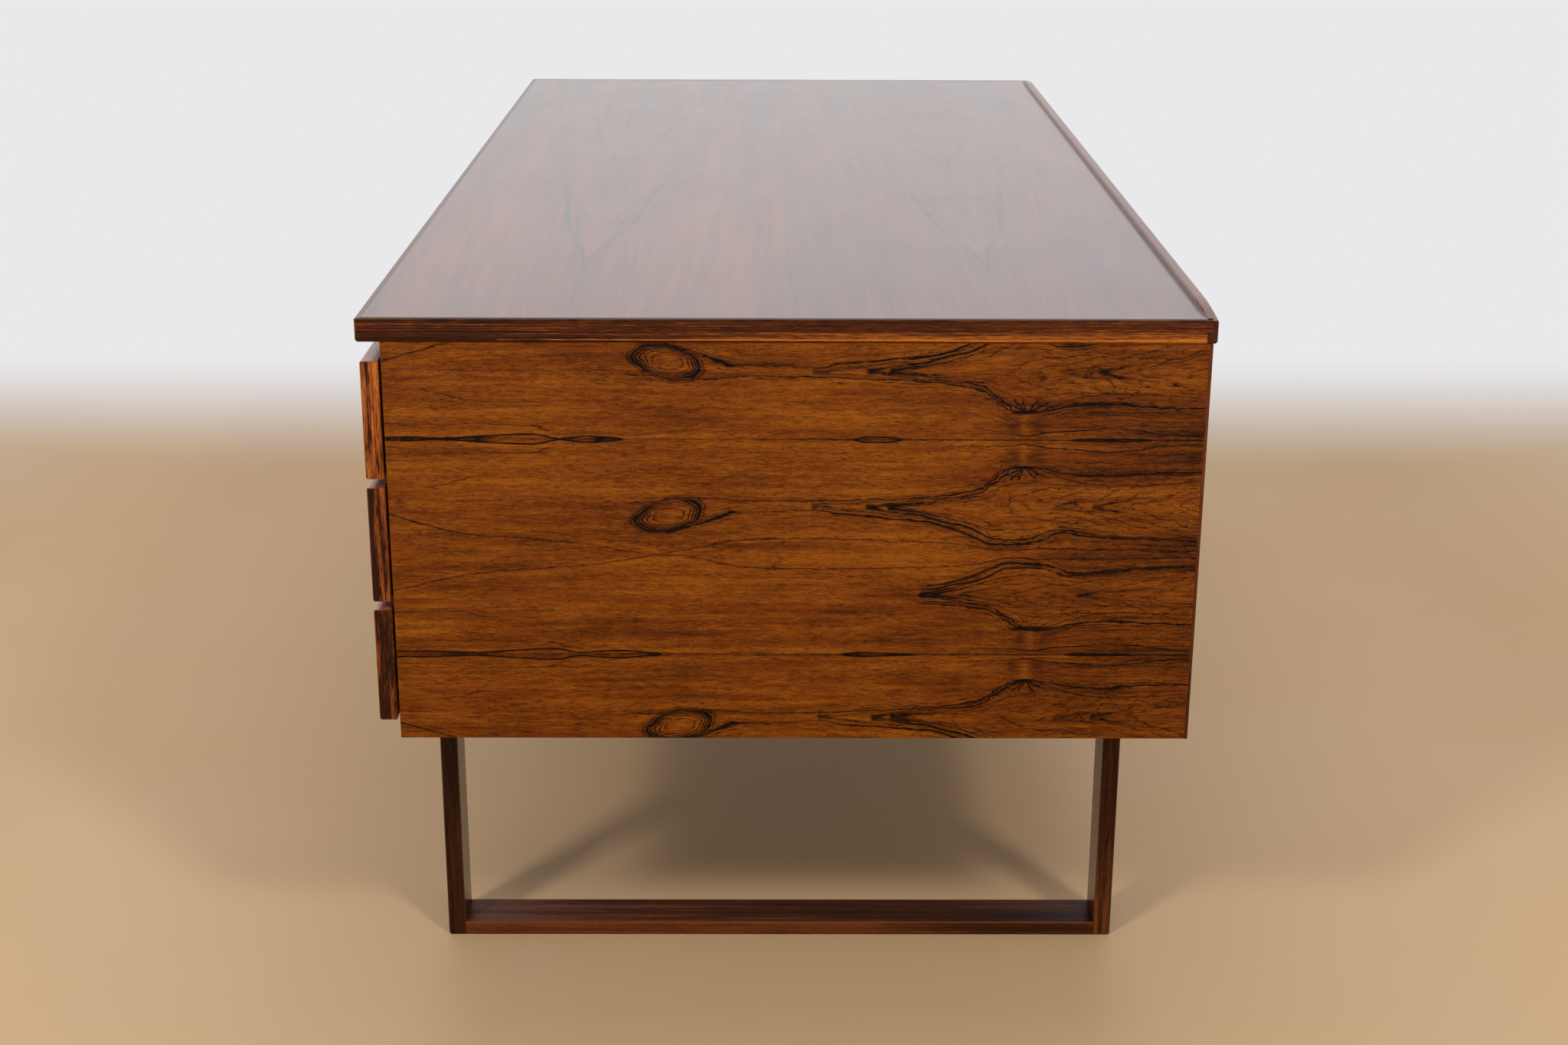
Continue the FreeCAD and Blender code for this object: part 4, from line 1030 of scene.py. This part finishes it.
def flames(leaf):
    """Nested flames that open from the axis and grow parallel to the two arms."""
    along, lines = leaf.bent_along, 0.0
    for shown, leaf_flames in ((1.0 - leaf.third, FLAMES), (leaf.third, THIRD_LEAF_FLAMES)):
        for tip, opening, strength, share in leaf_flames:
            run = maths("MAXIMUM", along - tip, 0.0)
            spread = (1.0 - fall(run, opening)) * leaf.room * share
            fading = fall(run, FLAME_FADE)
            width = fall(run, FLAME_TIP_REACH) * FLAME_HALF["tip"]
            width = weighed(width, FLAME_HALF, fading=fading, least=1.0)
            line = clamp(hump((leaf.off - spread) / width) * FLAME_FIRM)
            line = line * step(along, tip + FLAME_TIP[0], tip + FLAME_TIP[1])
            line = line * (fading * FLAME_INK["fading"] + FLAME_INK["least"]) * strength
            lines = strongest(lines, line * shown)
    return lines


def nested_curls(leaf):
    """Thin nested curves that open along the leaf, like the contours of its figure."""
    rounded = maths("SQRT", leaf.off * leaf.off + CURLS["round"] * CURLS["round"])
    field = leaf.bent_along * CURLS["density"] - rounded / leaf.room * CURLS["reach"]
    field = field + (leaf.sway + leaf.wobble * CURL_WOBBLE)
    whole = maths("FLOOR", field)
    line = hump((field - whole - 0.5) / CURLS["breadth"])
    breaks = leaf.noise(CURL_BREAKS)
    return line * step(chance(whole + CURLS["seed"]) + breaks * CURL_BREAK_WEIGHT, *CURL_SHOWN)


def squiggles(leaf):
    """Thin curling lines where soft noise passes a level."""
    total = 0.0
    for shift, level, breadth in SQUIGGLES:
        field = noise(leaf.grain, SQUIGGLE_FIELD, LEAF_SEED + shift)
        parts = noise(leaf.grain, SQUIGGLE_PARTS, LEAF_SEED + shift)
        line = hump((field - level) / breadth) * step(parts, *SQUIGGLE_SHOWN)
        total = strongest(total, line)
    return total


def curl_lines(leaf, flame, in_knot):
    """Curls and squiggles, most of all among the flames."""
    loose = squiggles(leaf) * (flame * SQUIGGLE_INK["flame"] + SQUIGGLE_INK["all"])
    nested = nested_curls(leaf) * (flame * CURL_INK["flame"] + CURL_INK["all"])
    return strongest(loose, nested) * (1.0 - in_knot)


def fine_marks(leaf, striped):
    """Growth rings, threads, dashes and specks all over the leaf."""
    fine_rings = leaf.rings * FINE_RINGS["share"] + leaf.sway
    marks = (ink_lines(leaf.rings, leaf.grain, LEAF_SEED, RING_LINE_BREADTH),
             ink_lines(fine_rings, leaf.grain, LEAF_SEED + FINE_RINGS["seed"], FINE_RINGS["breadth"]),
             step(leaf.ring_noise(THREADS, THREAD_SPACING), *THREAD_SHOWN))
    total = 0.0
    for mark, (darker, least) in zip(marks, STRIPED_INK):
        total = total + mark * (striped * darker + least)
    crowding = leaf.noise(CROWDING)
    for dots in (DASHES, SPECKS):
        level = leaf.noise(dots["kind"]) + crowding * dots["crowding"]
        total = total + step(level, *dots["shown"]) * dots["ink"]
    return total


def leaf_tone(leaf, **parts):
    """Light and dark over the leaf: bands along its rings, mottle, flecks, and the stains by its marks."""
    over = leaf.shifted - EYE[0]
    stain_out = (leaf.out - EYE_STAIN_OUT[0]) / EYE_STAIN_OUT[1]
    stains = [hump((over - middle) / half, stain_out) for middle, half in EYE_STAINS]
    pale = hump(over / EYE_PALE[0], (leaf.out - EYE_PALE[1]) / EYE_PALE[2])
    tone = wood_tone(leaf.grain, LEAF_SEED, LEAF_CALM) + LEAF_TONE
    tone = weighed(tone, LEAF_TONES, grit=leaf.noise(GRIT), bands=leaf.ring_noise(LEAF_BANDS, BAND_SPACING),
                   mottle=leaf.noise(MOTTLE), flecks=leaf.noise(FLECKS), patches=leaf.noise(PATCHES))
    return weighed(tone, LEAF_TONES, pale=pale, stain=stains[0] + stains[1],
                   dusky=step(leaf.along, *DUSKY_PART), **parts)


def end_veneer(name, node):
    """The book-matched leaves of an end panel; the other panel, its mirror image, wears them too."""
    tree = Tree(name)
    leaf = Leaf(tree)
    knot, in_knot, halo = knot_marks(leaf)
    lens, in_lens = lenses(leaf)
    dark = strongest(main_lines(leaf), knot, flames(leaf), eye_marks(leaf), lens, seam_line(leaf))
    dark = dark * weighed(WHOLE_INK, BROKEN_INK, wobble=leaf.wobble, broken=leaf.noise(BROKEN))
    striped = striped_part(leaf)
    flame = flame_part(leaf)
    dark = clamp(dark + fine_marks(leaf, striped) + curl_lines(leaf, flame, in_knot))
    tone = leaf_tone(leaf, striped=striped, flame=flame, knot=in_knot, halo=halo, lens=in_lens)
    colour = tinted(clamp(tone), VENEER)
    red = step(leaf.noise(RED), *RED_SHOWN) * RED_SHARE + in_lens * LENS_RED_SHARE
    colour = mix(red, colour, VENEER_RED)
    pore = pores(leaf.grain, LEAF_SEED, LEAF_PORES)
    return finished(tree, leaf.place, leaf.grain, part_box(node), colour, dark, pore, VENEER, LEAF_SEED, LACQUER)


# Dressing the nodes. A seed says where a board's pattern starts, so that no two boards look the same

SIDES = ("left", "right")
CASE_BOARDS = (
    ("inner_panel", ALONG_Y), ("pedestal_bottom", ALONG_X), ("pedestal_back", ALONG_X_UPRIGHT),
    ("shelf", ALONG_X))
CENTRE_BOARDS = (("bottom", ALONG_X), ("back", ALONG_X_UPRIGHT), ("shelf", ALONG_X))
DRAWER_ROWS = ("bottom", "middle", "top")
DRAWER_BOARDS = (("left_side", ALONG_Y), ("right_side", ALONG_Y), ("back", ALONG_X_UPRIGHT))
SLED_BARS = (
    ("front_leg", ALONG_Z, even_shade(FRONT_LEG_TONE)), ("rear_leg", ALONG_Z, even_shade(REAR_LEG_TONE)),
    ("floor_rail", ALONG_Y, rail_painted_light), ("top_rail", ALONG_Y, None))
CASE_SEEDS = {"first": 51.0, "side": 7.0, "board": 2.0}
CENTRE_SEEDS = {"first": 71.0, "board": 3.0}
DRAWER_SEEDS = {"first": 101.0, "side": 13.0, "row": 4.0, "box": 1.0, "bottom": 2.0}
SLED_SEEDS = {"first": 151.0, "side": 11.0, "bar": 2.0}
BOX_INK = 0.25
DRAWER_BOTTOM_INK = 0.2
SLED_CALM = 1.5
# Plain boards and strips: node, the wood's name, which way it runs, colours, gloss, seed and what is special
PLAIN_BOARDS = (
    ("top_front_strip", "top_front_solid", ALONG_X, SOLID, LACQUER, 37.0, {"ink": 0.4, "coat": upper_gloss}),
    ("top_rear_lip", "rear_lip_solid", ALONG_X, SOLID, LACQUER, 41.0,
     {"ink": 0.3, "shade": lip_shade, "coat": lip_gloss}),
    ("top_end_strips", "end_strip_solid", ALONG_Y, STRIP, LACQUER, 43.0,
     {"ink": 0.5, "calm": 0.45, "shade": end_strip_shade}),
    ("panel_edge_strips", "edge_strip_solid", ALONG_Z, SOLID, LACQUER, 83.0, {}),
    ("top_dowels", "dowel_beech", ALONG_Z, BEECH, WAX, 181.0, {"ink": 0.1}),
    ("drawer_runners", "runner_beech", ALONG_Y, BEECH, WAX, 183.0, {"ink": 0.15}))

BRASS_BLOTCHES = soft(0.004, 0.004, 0.004, 3.0, 4.0, 0.7)
TURNING_MARKS = soft(0.00025, 0.004, 0.004, 5.0, 1.0)
TURNING_DEPTH = 0.00002
DULL_SHOWN = (-0.3, 0.5)
BRASS_ROUGHNESS = 0.36
BRASS_ROUGHER = {"blotches": 0.12, "marks": 0.06}


def dress(node, material):
    """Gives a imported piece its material."""
    for slot in NODES[node].material_slots:
        slot.material = material


def dress_plain_boards():
    for node, name, axes, palette, gloss, seed, special in PLAIN_BOARDS:
        dress(node, board_wood(name, node, axes, palette, gloss, seed, **special))


def dress_case():
    end_leaves = end_veneer("end_veneer", "right_end_panel")
    boards = []
    for count, side in enumerate(SIDES):
        dress(side + "_end_panel", end_leaves)
        first = CASE_SEEDS["first"] + CASE_SEEDS["side"] * count
        boards += [(side + "_" + board, axes, first + CASE_SEEDS["board"] * order)
                   for order, (board, axes) in enumerate(CASE_BOARDS)]
    boards += [("centre_" + board, axes, CENTRE_SEEDS["first"] + CENTRE_SEEDS["board"] * order)
               for order, (board, axes) in enumerate(CENTRE_BOARDS)]
    for node, axes, seed in boards:
        dress(node, board_wood(node + "_veneer", node, axes, CASE_VENEER, LACQUER, seed))


def dress_drawers():
    for count, side in enumerate(SIDES):
        for order, row in enumerate(DRAWER_ROWS):
            body = side + "_" + row + "_drawer_"
            seed = DRAWER_SEEDS["first"] + DRAWER_SEEDS["side"] * count + DRAWER_SEEDS["row"] * order
            dress(body + "front", front_wood(body + "front_wood", body + "front", seed, *FRONT_TONES[row]))
            for board, axes in DRAWER_BOARDS:
                dress(body + board, board_wood(body + board + "_oak", body + board, axes, OAK, WAX,
                                               seed + DRAWER_SEEDS["box"], ink=BOX_INK))
            dress(body + "bottom", board_wood(body + "bottom_ply", body + "bottom", ALONG_X, PLYWOOD, WAX,
                                              seed + DRAWER_SEEDS["bottom"], ink=DRAWER_BOTTOM_INK))


def dress_sleds():
    for count, side in enumerate(SIDES):
        for order, (bar, axes, shade) in enumerate(SLED_BARS):
            node = side + "_sled_" + bar
            seed = SLED_SEEDS["first"] + SLED_SEEDS["side"] * count + SLED_SEEDS["bar"] * order
            dress(node, board_wood(node + "_wood", node, axes, SLED, LACQUER, seed, calm=SLED_CALM, shade=shade,
                                   coat=sled_gloss))


def brass_metal(name):
    """Dulled brass with darker blotches and faint turning marks."""
    tree = Tree(name)
    place = vector(tree.position())
    blotches = noise(place, BRASS_BLOTCHES)
    marks = noise(place, TURNING_MARKS)
    colour = mix(step(blotches, *DULL_SHOWN), BRASS, BRASS_DULL)
    roughness = weighed(BRASS_ROUGHNESS, BRASS_ROUGHER, blotches=blotches, marks=marks)
    return tree.surface(colour, roughness, marks, TURNING_DEPTH, metal=1.0)


def dress_fittings():
    for node in ("shelf_pins", "sled_screws"):
        dress(node, brass_metal(node + "_brass"))


# The stage

FLOOR_HALF = 12.0
FLOOR_FADE = (1.4, 3.6)
FLOOR_FADE_BEHIND = (1.0, 1.9)
FLOOR_CLOUDS = soft(0.5, 0.5, 0.5, 1.0, 3.0)
FLOOR_CLOUD_WEIGHT = 0.06
FLOOR_PALE_SHARE = 0.03
FLOOR_ROUGHNESS = 0.6
FLOOR_GLOW = 0.08
WHITE = (1.0, 1.0, 1.0, 1.0)
ROOM_LIGHT = 0.34
ROOM_DARKENS = (-0.2, 0.6)
SIDE_LAMPS = (("left_lamp", (3.4, -2.25, 3.0), 80.0), ("right_lamp", (3.4, 1.85, 3.2), 72.0))
SIDE_LAMP_AIM = (0.2, 0.0, 0.4)
SIDE_LAMP_SIZE = 0.6
HIGHLIGHT_SHARE = 0.16
CEILING_LAMP = {"place": (-0.4, 0.0, 3.4), "aim": (-0.4, 0.0, 0.0), "size": 2.6, "watts": 50.0}


def place_object(name, data):
    """A new object in the scene."""
    piece = bpy.data.objects.new(name, data)
    bpy.context.scene.collection.objects.link(piece)
    return piece


def floor():
    """A plain pale floor that fades into the backdrop far from the desk."""
    mesh = bpy.data.meshes.new("floor")
    corners = [(x * FLOOR_HALF, y * FLOOR_HALF, 0) for x, y in ((-1, -1), (1, -1), (1, 1), (-1, 1))]
    mesh.from_pydata(corners, [], [range(len(corners))])
    tree = Tree("pale_floor")
    place = tree.position()
    far = maths("SQRT", place[0] * place[0] + place[1] * place[1])
    fade = strongest(step(far, *FLOOR_FADE), step(-place[0], *FLOOR_FADE_BEHIND))
    clouds = noise(vector(place), FLOOR_CLOUDS)
    near = tree.add("BsdfPrincipled", {
        "Base Color": mix(clouds * FLOOR_CLOUD_WEIGHT + FLOOR_PALE_SHARE, FLOOR_NEAR, BACKDROP),
        "Roughness": FLOOR_ROUGHNESS, "Emission Color": FLOOR_NEAR, "Emission Strength": FLOOR_GLOW})
    distant = tree.add("Emission", {"Color": BACKDROP})
    mesh.materials.append(tree.end(tree.add("MixShader", {0: fade, 1: near, 2: distant})))
    piece = place_object("floor", mesh)


def backdrop():
    """A pale surround, darker behind the camera for reflections alone, and a soft even light on the desk."""
    tree = Tree("studio", "worlds")
    bpy.context.scene.world = tree.owner
    camera_ray = tree.add("LightPath", {}, "Is Camera Ray")
    glossy_ray = tree.add("LightPath", {}, "Is Glossy Ray")
    behind_camera = step(tree.split("TexCoord", "Generated")[0], *ROOM_DARKENS)
    room = mix(behind_camera, BACKDROP, ROOM_BEHIND_CAMERA)
    lighting = tree.add("Background", {"Color": WHITE, "Strength": ROOM_LIGHT})
    shown = tree.add("Background", {"Color": mix(camera_ray, room, BACKDROP)})
    seen = strongest(camera_ray, glossy_ray)
    tree.end(tree.add("MixShader", {0: seen, 1: lighting, 2: shown}), "OutputWorld")


def soft_lamp(name, place, aim, size, watts, matte=True, glossy=True):
    """A square soft lamp that points at a place, which matte light, glossy reflections or both can see."""
    light = bpy.data.lights.new(name, "AREA")
    light.shape = "SQUARE"
    light.size = size
    light.energy = watts
    light.color = LAMP_COLOUR
    lamp = place_object(name, light)
    lamp.location = place
    lamp.rotation_euler = (Vector(aim) - Vector(place)).to_track_quat("-Z", "Y").to_euler()
    lamp.visible_diffuse = matte
    lamp.visible_glossy = glossy


def lamps():
    """Two lamps on the camera's side, whose highlights are weaker than their light, and a broad one above."""
    for name, place, watts in SIDE_LAMPS:
        soft_lamp(name, place, SIDE_LAMP_AIM, SIDE_LAMP_SIZE, watts, glossy=False)
        soft_lamp(name + "_highlight", place, SIDE_LAMP_AIM, SIDE_LAMP_SIZE, watts * HIGHLIGHT_SHARE,
                  matte=False)
    soft_lamp("ceiling_lamp", **CEILING_LAMP)


def camera():
    """The camera of the photograph."""
    level_share, drop = math.cos(CAMERA_PITCH), math.sin(CAMERA_PITCH)
    ahead = Vector((-level_share * math.cos(CAMERA_YAW), level_share * math.sin(CAMERA_YAW), -drop))
    level = ahead.cross(Vector((0, 0, 1))).normalized()
    down = ahead.cross(level)
    right = level * math.cos(CAMERA_ROLL) + down * math.sin(CAMERA_ROLL)
    up = level * math.sin(CAMERA_ROLL) - down * math.cos(CAMERA_ROLL)
    data = bpy.data.cameras.new("camera")
    data.sensor_width = SENSOR_WIDTH
    data.lens = FOCAL_PIXELS / IMAGE_WIDTH * SENSOR_WIDTH
    piece = place_object("camera", data)
    turned = Matrix((right, up, -ahead)).transposed().to_4x4()
    piece.matrix_world = Matrix.Translation(CAMERA_PLACE) @ turned
    bpy.context.scene.camera = piece


dress("top_board", top_veneer("top_veneer", "top_board"))
dress_plain_boards()
dress_case()
dress_drawers()
dress_sleds()
dress_fittings()
floor()
backdrop()
lamps()
camera()
bpy.context.scene.view_settings.view_transform = "Standard"
